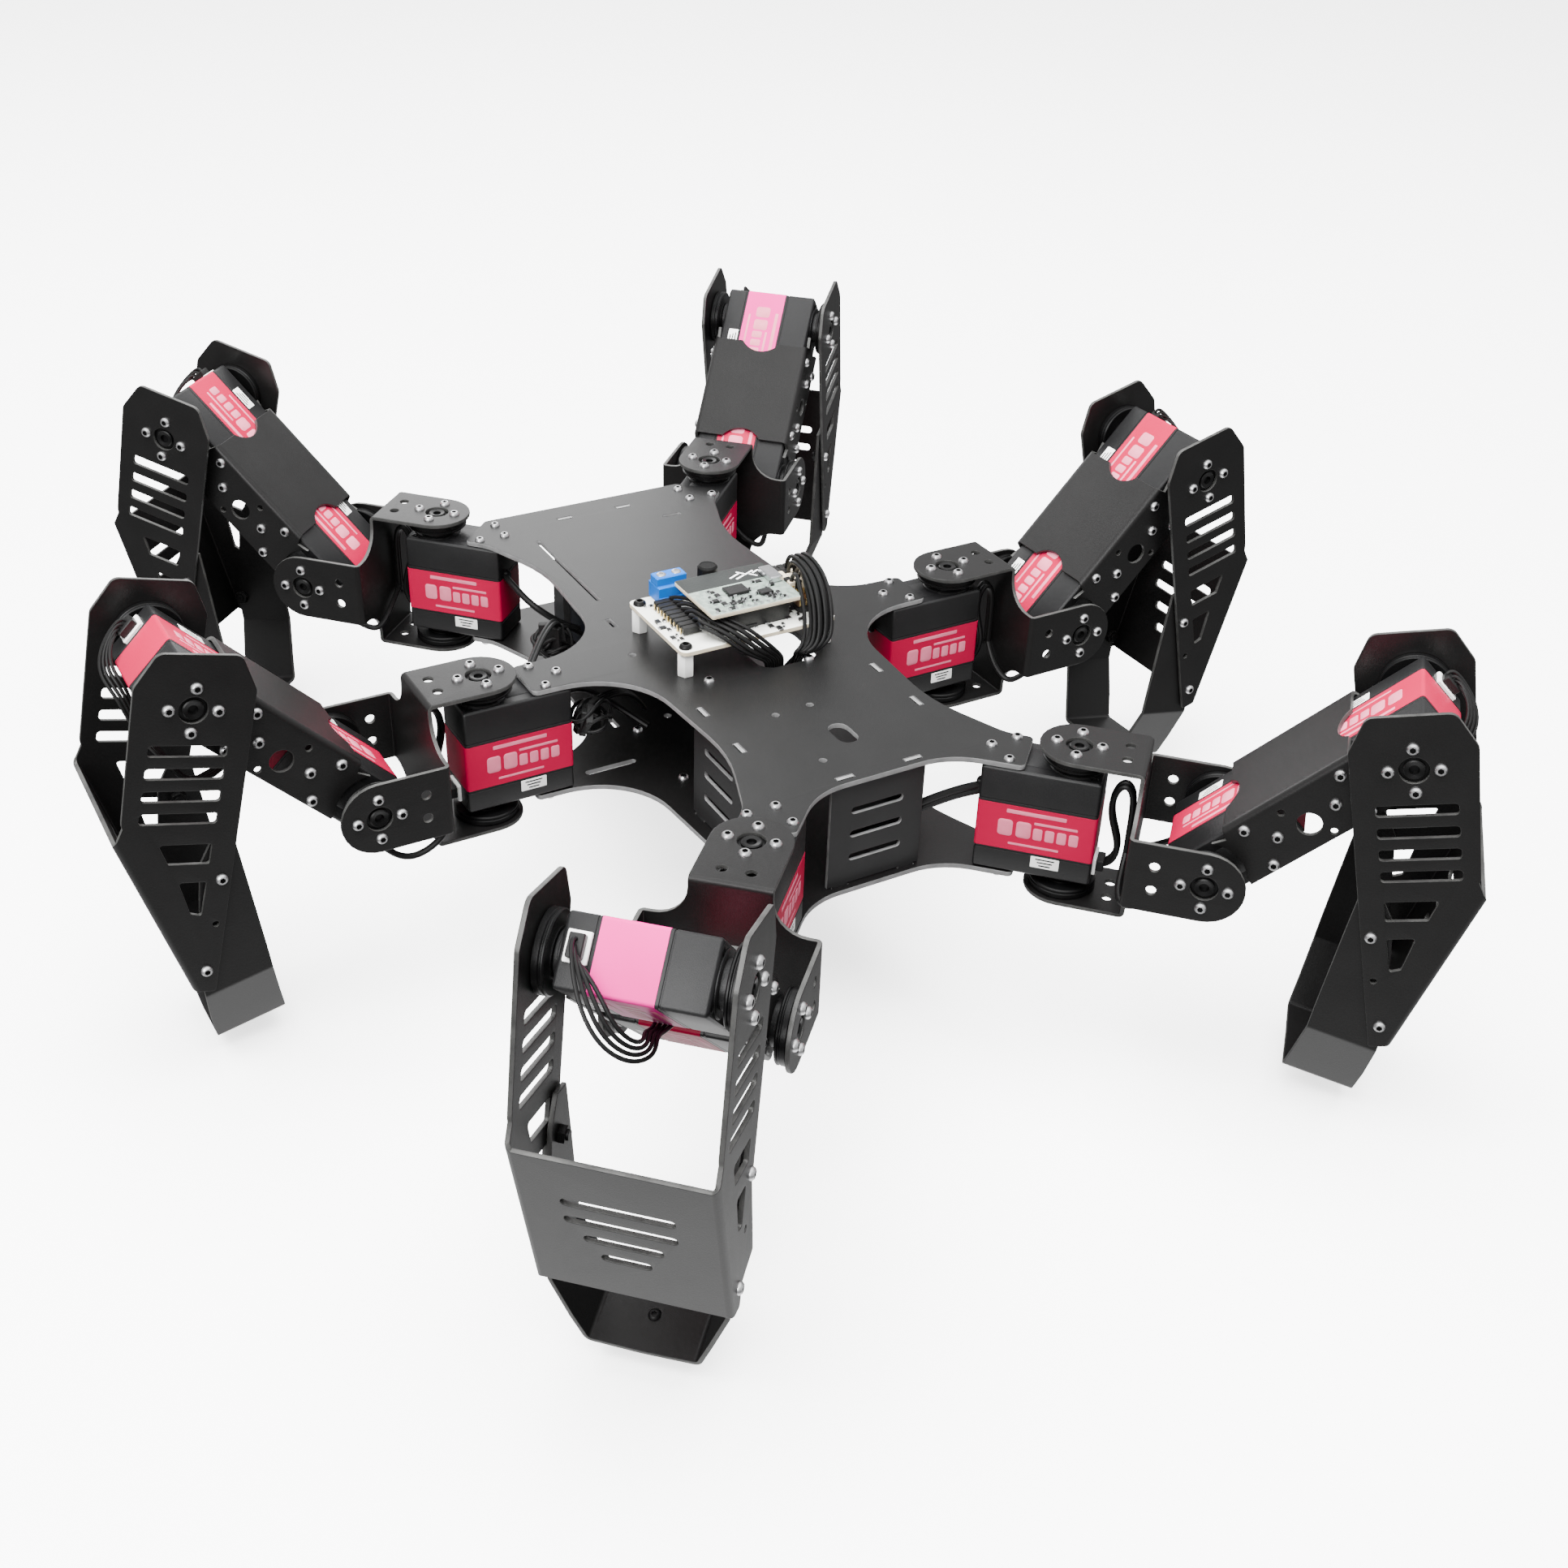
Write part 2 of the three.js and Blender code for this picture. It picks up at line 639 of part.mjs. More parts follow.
// A bundle of leads as one solid, swept along a smooth route of points by hand.
function bundleSolid(route, radius, steps) {
  const points = route.map(([x, y, z]) => new THREE.Vector3(x, y, z));
  const path = new THREE.CatmullRomCurve3(points, false, "centripetal");
  const shape = new THREE.Shape(circle(0, 0, radius, 8));
  const geometry = new THREE.ExtrudeGeometry(shape, {
    steps,
    extrudePath: path,
    bevelEnabled: false,
  });
  return manifoldOf(geometry);
}

// From the left-hand pins, over the board's rear edge and down into the chassis.
const LEFT_LEADS = [
  [-21.5, 5, BOARD_TOP + 6],
  [-21.5, -6, BOARD_TOP + 6],
  [-22, -16, BOARD_TOP + 6],
  [-17.5, -25, BOARD_TOP + 4],
  [-8, -30, BOARD_TOP + 2],
  [1, -30, DECK + 8],
  [6, -25, DECK],
  [7, -20, DECK - 11],
];
// From the right-hand pins, out in a loop and back down through the opening.
const RIGHT_LEADS = [
  [25, -5, BOARD_TOP + 13],
  [32, -7, BOARD_TOP + 13],
  [37, -13, BOARD_TOP + 7],
  [36, -22, BOARD_TOP - 2],
  [28, -30, DECK + 5.5],
  [21, -28.5, DECK + 4],
  [16, -25, DECK],
  [14, -19, DECK - 11],
];

// ---------------------------------------------------------------- legs
// Each leg's hip place and the direction it points, in degrees from +X.
const LEGS = [
  { name: "front_right", x: CORNER_HIP.x, y: CORNER_HIP.y, turn: 45.7 },
  { name: "middle_right", x: MIDDLE_HIP_X, y: 0, turn: 0 },
  { name: "rear_right", x: CORNER_HIP.x, y: -CORNER_HIP.y, turn: -45.7 },
  { name: "rear_left", x: -CORNER_HIP.x, y: -CORNER_HIP.y, turn: -134.3 },
  { name: "middle_left", x: -MIDDLE_HIP_X, y: 0, turn: 180 },
  { name: "front_left", x: -CORNER_HIP.x, y: CORNER_HIP.y, turn: 134.3 },
];

function kneePlace() {
  const angle = THREE.MathUtils.degToRad(FEMUR.restAngle);
  return {
    x: PITCH_RADIUS + FEMUR.pitchToKnee * Math.cos(angle),
    z: FEMUR.pitchToKnee * Math.sin(angle),
  };
}

const shapes = {
  servo: servoSolid(),
  coxa: coxaSolid(),
  femur: femurSolid(),
  tibia: tibiaSolid(),
  foot: footSolid(),
  pad: padSolid(),
};

const servoMesh = (name) => meshOf(shapes.servo, name, plastic);

function legGroup({ name, x, y, turn }) {
  const leg = new THREE.Group();
  leg.position.set(x, y, HIP_HEIGHT);
  leg.rotation.z = THREE.MathUtils.degToRad(turn);
  leg.add(servoMesh(`hip_servo_${name}`));
  leg.add(meshOf(shapes.coxa, `hip_bracket_${name}`, metal));

  const femur = new THREE.Group();
  femur.position.x = PITCH_RADIUS;
  femur.rotation.y = -THREE.MathUtils.degToRad(FEMUR.restAngle);
  const pitchServo = servoMesh(`pitch_servo_${name}`);
  pitchServo.rotation.set(Math.PI / 2, 0, Math.PI);
  const kneeServo = servoMesh(`knee_servo_${name}`);
  kneeServo.position.x = FEMUR.pitchToKnee;
  kneeServo.rotation.x = Math.PI / 2;
  femur.add(pitchServo, kneeServo, meshOf(shapes.femur, `femur_bracket_${name}`, metal));
  leg.add(femur);

  const knee = kneePlace();
  const tibia = new THREE.Group();
  tibia.position.set(knee.x, 0, knee.z);
  tibia.rotation.y = THREE.MathUtils.degToRad(TIBIA.restAngle);
  tibia.add(meshOf(shapes.tibia, `tibia_bracket_${name}`, metal));
  tibia.add(meshOf(shapes.foot, `foot_strap_${name}`, metal));
  tibia.add(meshOf(shapes.pad, `foot_pad_${name}`, rubber));
  leg.add(tibia);
  return leg;
}

function chassisGroup() {
  const chassis = new THREE.Group();
  chassis.position.z = HIP_HEIGHT;
  const { inner } = CHASSIS;
  chassis.add(meshOf(plateSolid(inner, inner + PLATE, [strapSlot(), cableOpening()]), "top_plate", metal));
  chassis.add(meshOf(plateSolid(-inner - PLATE, -inner, []), "bottom_plate", metal));
  for (const { name, x, y, across } of PANELS) {
    const panel = meshOf(panelSolid(across), name, metal);
    panel.position.set(x, y, 0);
    chassis.add(panel);
  }
  chassis.add(meshOf(controllerSolid(), "servo_controller", circuit));
  chassis.add(meshOf(terminalSolid(), "power_terminal", terminalBlue));
  chassis.add(meshOf(upperBoardSolid(), "upper_board", shadeCircuit));
  chassis.add(meshOf(batterySolid(), "battery_pack", blueWrap));
  chassis.add(meshOf(bundleSolid(LEFT_LEADS, 3, 14), "lead_bundle_left", cableBlack));
  chassis.add(meshOf(bundleSolid(RIGHT_LEADS, 3, 14), "lead_bundle_right", cableBlack));
  return chassis;
}

const robot = new THREE.Group();
robot.add(chassisGroup());
for (const leg of LEGS) robot.add(legGroup(leg));

export default robot;
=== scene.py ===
"""Six-legged walking robot kit: bent sheet-metal brackets, geared servos, labels, screws, leads and boards.

Every helper works in millimetres in a piece's own axes. A piece is put in place by a matrix that is worked
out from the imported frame's joints, and turned into metres there.
"""

import json
import math
import random

import bmesh
import bpy
from mathutils import Matrix, Vector


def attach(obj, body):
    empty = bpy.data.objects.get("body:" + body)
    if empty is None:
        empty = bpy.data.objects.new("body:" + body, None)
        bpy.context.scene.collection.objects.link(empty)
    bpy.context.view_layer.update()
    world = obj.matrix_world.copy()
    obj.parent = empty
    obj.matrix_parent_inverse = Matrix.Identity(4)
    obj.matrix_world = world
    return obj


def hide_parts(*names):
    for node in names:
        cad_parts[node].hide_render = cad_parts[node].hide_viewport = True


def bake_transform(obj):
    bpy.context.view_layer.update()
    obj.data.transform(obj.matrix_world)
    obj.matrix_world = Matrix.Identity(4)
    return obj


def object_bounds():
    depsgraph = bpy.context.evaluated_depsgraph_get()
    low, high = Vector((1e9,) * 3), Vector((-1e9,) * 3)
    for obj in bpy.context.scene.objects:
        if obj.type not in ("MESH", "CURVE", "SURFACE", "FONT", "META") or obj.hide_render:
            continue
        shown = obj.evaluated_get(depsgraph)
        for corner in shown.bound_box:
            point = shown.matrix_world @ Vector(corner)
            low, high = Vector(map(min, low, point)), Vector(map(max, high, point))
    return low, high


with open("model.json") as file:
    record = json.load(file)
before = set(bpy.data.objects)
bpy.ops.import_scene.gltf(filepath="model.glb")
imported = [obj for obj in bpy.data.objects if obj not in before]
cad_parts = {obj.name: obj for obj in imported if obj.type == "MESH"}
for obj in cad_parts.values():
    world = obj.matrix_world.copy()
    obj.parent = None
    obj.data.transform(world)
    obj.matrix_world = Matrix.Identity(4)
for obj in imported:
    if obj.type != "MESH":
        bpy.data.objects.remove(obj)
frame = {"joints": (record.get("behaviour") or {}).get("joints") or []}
cad_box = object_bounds()
MM = 0.001

# ---------------------------------------------------------------- sizes, in millimetres
SHEET = 1.5  # brackets
PLATE = 2.0  # chassis plates
BEND = 1.25  # radius of a bend at the middle of the sheet
ARM_OUTER = 28.2  # outer face of each bracket arm, from the middle of the servo
HORN_FACE = ARM_OUTER - SHEET
STRAP_OUTER = HORN_FACE - 0.3  # outer face of the foot strap, just inside the tibia bracket
PLATE_LOW = 20.3  # inner face of each chassis plate and femur flange, from the middle of the servo
HIP_TO_WEB = 23.2
ARM_WIDE = 13.0  # half-width of a hip bracket's arms
PITCH_TO_KNEE = 76.9
SERVO_END = 10.0  # shaft to the near end of the case
SERVO_FAR = -30.0  # shaft to the far end
SERVO_HALF = 10.0
SERVO_TOP = 20.0
LABEL_TOP = 6.5
LABEL_LOW = -11.0
TIBIA_LEAN = math.radians(75.3)
STRAP_TILT = math.radians(26)
SOLE_DEPTH = 129.2  # knee to the underside of the sole, along the strap
PAD_ACROSS = 21.0  # and outwards from there to the foot pad
SCREW_CIRCLE = 7.5
SOCKET_OUT = 13.2  # shaft to where the leads leave a servo's socket
SOCKET_ALONG = 15.3  # and along the shaft, from the middle of the case
SHARP = math.radians(35)


# ---------------------------------------------------------------- camera
def make_camera():
    """The photo's view, as fitted to the legs' joints."""
    azimuth, elevation, roll = (math.radians(a) for a in (-30.88, 32.66, 2.19))
    target, distance = Vector((0.0608, 0.0568, -0.0092)), 0.821
    flat = Vector((math.sin(azimuth), -math.cos(azimuth), 0)) * math.cos(elevation)
    back = flat + Vector((0, 0, math.sin(elevation)))
    level = Vector((math.cos(azimuth), math.sin(azimuth), 0))
    above = back.cross(level)
    right = level * math.cos(roll) + above * math.sin(roll)
    up = above * math.cos(roll) - level * math.sin(roll)
    data = bpy.data.cameras.new("camera")
    data.lens = 43.53
    camera = bpy.data.objects.new("camera", data)
    turn = Matrix((right, up, back)).transposed().to_4x4()
    camera.matrix_world = Matrix.Translation(target + back * distance) @ turn
    bpy.context.scene.collection.objects.link(camera)
    bpy.context.scene.camera = camera


make_camera()


# ---------------------------------------------------------------- materials
def colour(value):
    """Red, green, blue and alpha, from three numbers or from one for a grey."""
    return (*value, 1) if isinstance(value, tuple) else (value, value, value, 1)


def preset(node, **sockets):
    """Puts constants on a node's own sockets; _ stands for a space in their names."""
    for socket, value in sockets.items():
        node.inputs[socket.replace("_", " ")].default_value = value
    return node


def surface(name, dark, light, rough, grain, bump, metallic=0.0, patch=70.0, **sockets):
    """Two colours in soft patches, with a fine grain in the roughness and the bump."""
    made = bpy.data.materials.new(name)
    made.use_nodes = True
    nodes, links = made.node_tree.nodes, made.node_tree.links
    shader = preset(nodes["Principled BSDF"], Metallic=metallic, **sockets)
    where = nodes.new("ShaderNodeTexCoord")
    broad = preset(nodes.new("ShaderNodeTexNoise"), Scale=patch, Detail=5)
    fine = preset(nodes.new("ShaderNodeTexNoise"), Scale=grain, Detail=3)
    for noise in (broad, fine):
        links.new(where.outputs["Object"], noise.inputs["Vector"])
    mix = preset(nodes.new("ShaderNodeMixRGB"), Color1=colour(dark), Color2=colour(light))
    links.new(broad.outputs["Fac"], mix.inputs["Fac"])
    links.new(mix.outputs["Color"], shader.inputs["Base Color"])
    average = nodes.new("ShaderNodeMath")
    average.operation = "MULTIPLY_ADD"
    average.inputs[1].default_value = 0.5
    half = nodes.new("ShaderNodeMath")
    half.operation = "MULTIPLY"
    half.inputs[1].default_value = 0.5
    links.new(broad.outputs["Fac"], half.inputs[0])
    links.new(fine.outputs["Fac"], average.inputs[0])
    links.new(half.outputs[0], average.inputs[2])
    spread = preset(nodes.new("ShaderNodeMapRange"), To_Min=rough[0], To_Max=rough[1])
    links.new(average.outputs[0], spread.inputs["Value"])
    links.new(spread.outputs["Result"], shader.inputs["Roughness"])
    relief = preset(nodes.new("ShaderNodeBump"), Strength=bump, Distance=0.0002)
    links.new(fine.outputs["Fac"], relief.inputs["Height"])
    links.new(relief.outputs["Normal"], shader.inputs["Normal"])
    return made


DULL = {"Specular_IOR_Level": 0.3}
MUTED = {"Specular_IOR_Level": 0.12}
BLACK_SHEET = surface(
    "black_anodised_sheet", (0.0026, 0.0025, 0.0025), (0.0046, 0.0044, 0.0044), (0.30, 0.42), 2600, 0.22,
    Specular_IOR_Level=0.42,
)
PLATE_BLACK = surface("black_plate", 0.0026, 0.0044, (0.32, 0.42), 2600, 0.2)
PLATE_EDGE = surface("cut_plate_edge", 0.09, 0.24, (0.35, 0.5), 1500, 0.3, 0.3, 220)
# A lighter copy of the black sheet for the end and side panels: painted light on panels that are the same
# black sheet as the brackets.
PANEL_BLACK_PAINTED_LIGHTER = surface("panel_sheet", (0.008, 0.008, 0.0082), (0.014, 0.014, 0.0143), (0.34, 0.46), 2600, 0.2)
DARK_EDGE = surface("worn_sheet_edge", 0.010, (0.085, 0.085, 0.082), (0.3, 0.45), 1500, 0.3, 0.4, 160)
SERVO_BLACK = surface("servo_case", (0.0032, 0.0032, 0.0034), (0.0058, 0.0058, 0.006), (0.34, 0.5), 3000, 0.3)
HORN_BLACK = surface("black_horn", 0.002, (0.004, 0.004, 0.0042), (0.25, 0.4), 1800, 0.15, 0.4)
STEEL = surface("steel_screw", (0.74, 0.74, 0.75), (0.92, 0.92, 0.93), (0.24, 0.4), 1800, 0.15, 1.0, 400)
# Black steel for the black screws and nuts, and painted shade inside the sockets of the silver screws.
BLACK_STEEL_AND_SOCKET_SHADE = surface("black_screw_and_socket_shade", 0.003, 0.01, (0.3, 0.45), 1800, 0.15, 0.5)
LABEL_RED = surface(
    "red_label", (0.25, 0.0004, 0.024), (0.33, 0.0014, 0.036), (0.32, 0.45), 900, 0.1, 0, 45, **MUTED
)
LABEL_PINK = surface(
    "pink_label", (0.46, 0.006, 0.15), (0.56, 0.011, 0.20), (0.32, 0.45), 900, 0.1, 0, 45, **MUTED
)
LABEL_INK = surface(
    "label_marks", (0.44, 0.09, 0.15), (0.54, 0.17, 0.23), (0.35, 0.5), 900, 0.1, 0, 300, **MUTED
)
STICKER = surface("white_sticker", (0.60, 0.60, 0.59), (0.78, 0.78, 0.76), (0.35, 0.5), 900, 0.1)
RUBBER = surface("foot_rubber", 0.004, 0.010, (0.65, 0.85), 1400, 0.5)
LEAD = surface("lead_sleeve", 0.0022, 0.005, (0.34, 0.46), 1200, 0.2, **DULL)
NYLON = surface("white_nylon", (0.58, 0.58, 0.57), (0.74, 0.74, 0.72), (0.3, 0.45), 900, 0.2)
WHITE_BOARD = surface("white_board", (0.48, 0.49, 0.45), (0.70, 0.70, 0.66), (0.25, 0.4), 1200, 0.2, 0, 260)
GREEN_BOARD = surface("green_board", (0.0, 0.02, 0.012), (0.30, 0.35, 0.31), (0.25, 0.42), 1400, 0.3, 0, 520)
SHADE_BOARD = surface(
    "shaded_board", (0.010, 0.011, 0.011), (0.024, 0.026, 0.025), (0.4, 0.55), 1400, 0.3, **MUTED
)
CHIP = surface("chip_plastic", 0.004, 0.010, (0.35, 0.5), 1500, 0.3, **DULL)
TERMINAL = surface(
    "blue_terminal", (0.001, 0.055, 0.27), (0.004, 0.10, 0.38), (0.3, 0.45), 900, 0.2, **MUTED
)
CREAM = surface("cream_header", (0.42, 0.35, 0.24), (0.62, 0.56, 0.44), (0.35, 0.5), 1200, 0.2, 0, 300)
GOLD = surface("gold_pins", (0.75, 0.55, 0.22), (0.9, 0.7, 0.35), (0.2, 0.35), 1500, 0.1, 1.0)
TIN = surface("solder_tin", (0.55, 0.56, 0.58), (0.8, 0.8, 0.82), (0.2, 0.4), 1500, 0.2, 1.0, 500)
SLEEVE = surface("capacitor_sleeve", 0.002, 0.005, (0.4, 0.55), 1500, 0.2, **MUTED)
WRAP = surface("battery_wrap", (0.004, 0.005, 0.007), (0.008, 0.009, 0.013), (0.22, 0.36), 700, 0.2)
STRAP = surface("battery_strap", 0.003, 0.007, (0.7, 0.9), 1600, 0.6)
BROWN_HEADER = surface(
    "brown_header", (0.03, 0.012, 0.005), (0.10, 0.05, 0.022), (0.4, 0.55), 1200, 0.2, 0, 400
)
WHITE_INK = surface("white_ink", 0.62, 0.78, (0.35, 0.5), 1200, 0.1)
# Steel for the silver screws, then painted shade for their socket faces (black steel for nuts painted
# second).
SCREW_METALS_AND_SOCKET_SHADE = [STEEL, BLACK_STEEL_AND_SOCKET_SHADE]


# ---------------------------------------------------------------- outlines
def rounded(corners, step=math.radians(15)):
    """Corners (u, v, radius) as points, with an arc of that radius at each."""
    points = []
    for i, corner in enumerate(corners):
        here = Vector(corner[:2])
        radius = corner[2] if len(corner) > 2 else 0
        if radius <= 0:
            points.append(tuple(here))
            continue
        back = (Vector(corners[i - 1][:2]) - here).normalized()
        on = (Vector(corners[(i + 1) % len(corners)][:2]) - here).normalized()
        half = math.acos(max(-1, min(1, back.dot(on)))) / 2
        centre = here + (back + on).normalized() * (radius / math.sin(half))
        start = here + back * (radius / math.tan(half)) - centre
        way = -math.copysign(1, back.x * on.y - back.y * on.x)
        turn = math.pi - 2 * half
        count = max(1, math.ceil(turn / step))
        for k in range(count + 1):
            points.append(tuple(centre + Matrix.Rotation(way * turn * k / count, 2) @ start))
    return points


def circle(u, v, radius, sides=28):
    turns = (2 * math.pi * k / sides for k in range(sides))
    return [(u + radius * math.cos(a), v + radius * math.sin(a)) for a in turns]


def bar(u, v, long, wide, radius=None):
    """A rectangle with round corners; round ends unless a radius is given."""
    radius = min(long, wide) * 0.49 if radius is None else radius
    a, b = long / 2, wide / 2
    return rounded([(u + x, v + y, radius) for x, y in ((-a, -b), (a, -b), (a, b), (-a, b))])


def arc(u, v, radius, start, end, steps):
    turns = (math.radians(start + (end - start) * k / steps) for k in range(steps + 1))
    return [(u + radius * math.cos(a), v + radius * math.sin(a)) for a in turns]


# ---------------------------------------------------------------- meshes
def sheet(outline, holes, thick, edge=0.28):
    """A flat sheet in the u-v plane with softened edges; its cut faces take the second material."""
    curve = bpy.data.curves.new("sheet", "CURVE")
    curve.dimensions = "2D"
    curve.fill_mode = "BOTH"
    for loop in [outline, *holes]:
        spline = curve.splines.new("POLY")
        spline.points.add(len(loop) - 1)
        for point, (u, v) in zip(spline.points, loop):
            point.co = (u, v, 0, 1)
        spline.use_cyclic_u = True
    curve.extrude = thick / 2 - edge
    curve.bevel_depth = edge
    curve.bevel_resolution = 1
    curve.offset = -edge
    bm = mesh_of_curve(curve)
    for face in bm.faces:
        face.material_index = 1 if abs(face.normal.z) < 0.8 else 0
    return bm


def mesh_of_curve(curve):
    """The curve's own mesh with its seams closed; the curve is used up."""
    holder = bpy.data.objects.new("holder", curve)
    bpy.context.scene.collection.objects.link(holder)
    mesh = bpy.data.meshes.new_from_object(holder.evaluated_get(bpy.context.evaluated_depsgraph_get()))
    bm = bmesh.new()
    bm.from_mesh(mesh)
    bmesh.ops.remove_doubles(bm, verts=bm.verts, dist=0.003)
    bmesh.ops.recalc_face_normals(bm, faces=bm.faces)
    bpy.data.objects.remove(holder)
    bpy.data.curves.remove(curve)
    bpy.data.meshes.remove(mesh)
    return bm


class Section:
    """The mid-line of a bent sheet from its middle outwards, as corners (across, depth)."""

    def __init__(self, corners, radius=BEND):
        self.radius = radius
        self.bends = []
        self.corner_places = []
        flat, spare = 0.0, 0.0
        for before, here, after in zip(corners, corners[1:], corners[2:]):
            arrive = Vector(here) - Vector(before)
            leave = Vector(after) - Vector(here)
            turn = math.atan2(leave.y, leave.x) - math.atan2(arrive.y, arrive.x)
            tangent = radius * math.tan(abs(turn) / 2)
            flat += arrive.length - tangent - spare
            self.bends.append((flat, turn))
            flat += radius * abs(turn)
            self.corner_places.append(flat - tangent)
            spare = tangent

    def after(self, corner, distance):
        """Where a place that far past a corner lies on the flat sheet."""
        return self.corner_places[corner] + distance

    def cuts(self):
        for start, turn in self.bends:
            steps = max(2, math.ceil(abs(turn) / math.radians(18)))
            for k in range(steps + 1):
                yield start + self.radius * abs(turn) * k / steps

    def place(self, along, offset):
        """Across and depth of a point on the flat sheet, offset outwards from its mid-line."""
        point, heading, done = Vector((0, 0)), 0.0, 0.0
        for start, turn in self.bends:
            if along <= start:
                break
            point += Vector((math.cos(heading), math.sin(heading))) * (start - done)
            share = min(1.0, (along - start) / (self.radius * abs(turn)))
            side = math.copysign(self.radius, turn)
            point -= side * Vector((math.sin(heading), -math.cos(heading)))
            heading += turn * share
            point += side * Vector((math.sin(heading), -math.cos(heading)))
            done = start + self.radius * abs(turn) * share
        point += Vector((math.cos(heading), math.sin(heading))) * (along - done)
        return point + Vector((math.sin(heading), -math.cos(heading))) * offset


def cut_at(bm, axis, place):
    """Cuts every face that crosses a place on one axis; nothing is taken away."""
    plane, normal = [0, 0, 0], [0, 0, 0]
    plane[axis], normal[axis] = place, 1
    everything = bm.verts[:] + bm.edges[:] + bm.faces[:]
    bmesh.ops.bisect_plane(bm, geom=everything, plane_co=plane, plane_no=normal)


def fold(bm, axis, section, way=1):
    """Bends the flat sheet across one axis, the same on both sides; way 1 turns it towards -w."""
    for cut in section.cuts():
        for side in (-1, 1):
            cut_at(bm, axis, side * cut)
    for vert in bm.verts:
        side = math.copysign(1, vert.co[axis])
        across, depth = section.place(abs(vert.co[axis]), way * vert.co.z)
        vert.co[axis] = side * across
        vert.co.z = -way * depth


def turned(profile, sides, hexagon=()):
    """A solid of revolution about Z from (radius, height) pairs; rings named in hexagon are six-sided."""
    bm = bmesh.new()
    rings = []
    for index, (radius, height) in enumerate(profile):
        if radius < 1e-6:
            rings.append([bm.verts.new((0, 0, height))])
            continue
        ring = []
        for k in range(sides):
            angle = 2 * math.pi * k / sides
            reach = radius
            if index in hexagon:
                reach = radius * math.cos(math.pi / 6) / math.cos(angle % (math.pi / 3) - math.pi / 6)
            ring.append(bm.verts.new((reach * math.cos(angle), reach * math.sin(angle), height)))
        rings.append(ring)
    join_rings(bm, rings)
    bmesh.ops.recalc_face_normals(bm, faces=bm.faces)
    return bm


def join_rings(bm, rings):
    for low, high in zip(rings, rings[1:]):
        count = max(len(low), len(high))
        for k in range(count):
            n = (k + 1) % count
            corners = [low[k % len(low)], low[n % len(low)], high[n % len(high)], high[k % len(high)]]
            unique = list(dict.fromkeys(corners))
            if len(unique) > 2:
                bm.faces.new(unique)
    for ring in (rings[0], rings[-1]):
        if len(ring) > 2:
            bm.faces.new(ring)


def stacked(ring_at, levels):
    """A solid from rings of one outline: levels are (height, inset)."""
    bm = bmesh.new()
    rings = [[bm.verts.new((u, v, z)) for u, v in ring_at(inset)] for z, inset in levels]
    join_rings(bm, rings)
    bmesh.ops.recalc_face_normals(bm, faces=bm.faces)
    return bm


def block(x0, x1, y0, y1, z0, z1, edge):
    """A moulded block with softened edges."""
    edge = min(edge, (z1 - z0) / 3, (x1 - x0) / 4, (y1 - y0) / 4)

    def ring(inset):
        a, b = x0 + inset, y0 + inset
        c, d = x1 - inset, y1 - inset
        return rounded([(a, b, edge), (c, b, edge), (c, d, edge), (a, d, edge)], math.radians(45))

    return stacked(ring, [(z0, edge * 0.9), (z0 + edge, 0), (z1 - edge, 0), (z1, edge * 0.9)])


def wire(points, radius):
    """A round lead on one smooth curve through or near its points, with closed ends."""
    curve = bpy.data.curves.new("wire", "CURVE")
    curve.dimensions = "3D"
    spline = curve.splines.new("NURBS")
    spline.points.add(len(points) - 1)
    for point, place in zip(spline.points, points):
        point.co = (*place, 1)
    spline.order_u = min(4, len(points))
    spline.use_endpoint_u = True
    spline.resolution_u = 5
    curve.bevel_depth = radius
    curve.bevel_resolution = 3
    curve.use_fill_caps = True
    return mesh_of_curve(curve)


def moved(bm, *matrices):
    """Copies of a mesh at each matrix, as one; the first is used up."""
    whole = bmesh.new()
    mesh = bpy.data.meshes.new("copy")
    bm.to_mesh(mesh)
    bm.free()
    for matrix in matrices:
        start = len(whole.verts)
        whole.from_mesh(mesh)
        whole.verts.ensure_lookup_table()
        bmesh.ops.transform(whole, matrix=matrix, verts=whole.verts[start:])
    bpy.data.meshes.remove(mesh)
    return whole


def together(*pieces):
    """Several meshes as one; they are used up."""
    whole = bmesh.new()
    for piece in pieces:
        mesh = bpy.data.meshes.new("part")
        piece.to_mesh(mesh)
        piece.free()
        whole.from_mesh(mesh)
        bpy.data.meshes.remove(mesh)
    return whole


def paint(bm, index):
    for face in bm.faces:
        face.material_index = index
    return bm


def at(x, y, z):
    return Matrix.Translation((x, y, z))


def turn(degrees, axis):
    return Matrix.Rotation(math.radians(degrees), 4, axis)


def mesh_from(name, bm, materials):
    """The finished mesh in metres, smooth except where it turns by more than SHARP."""
    bmesh.ops.scale(bm, vec=(MM, MM, MM), verts=bm.verts)
    mesh = bpy.data.meshes.new(name)
    bm.to_mesh(mesh)
    bm.free()
    for made in materials:
        mesh.materials.append(made)
    mesh.shade_smooth()
    mesh.set_sharp_from_angle(angle=SHARP)
    return mesh


def link(name, mesh, matrix, slot):
    """A piece at its place, not yet on a body."""
    piece = bpy.data.objects.new(name, mesh)
    bpy.context.scene.collection.objects.link(piece)
    piece.matrix_world = matrix
    return piece


def put(name, mesh, matrix, body, slot, replaces=(), weighted=False):
    """A piece that rides one body; it may stand in for CAD nodes, and may have its shading evened out."""
    piece = link(name, mesh, matrix, slot)
    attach(piece, body)
    if weighted:
        piece.modifiers.new("even_shading", "WEIGHTED_NORMAL").keep_sharp = True
    if replaces:
        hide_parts(*replaces)
    return piece


# ---------------------------------------------------------------- places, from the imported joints
JOINTS = {joint["name"]: Vector(joint["pos_m"]) for joint in frame["joints"]}


def joint_at(name):
    """A joint's place in millimetres."""
    return JOINTS[name] / MM


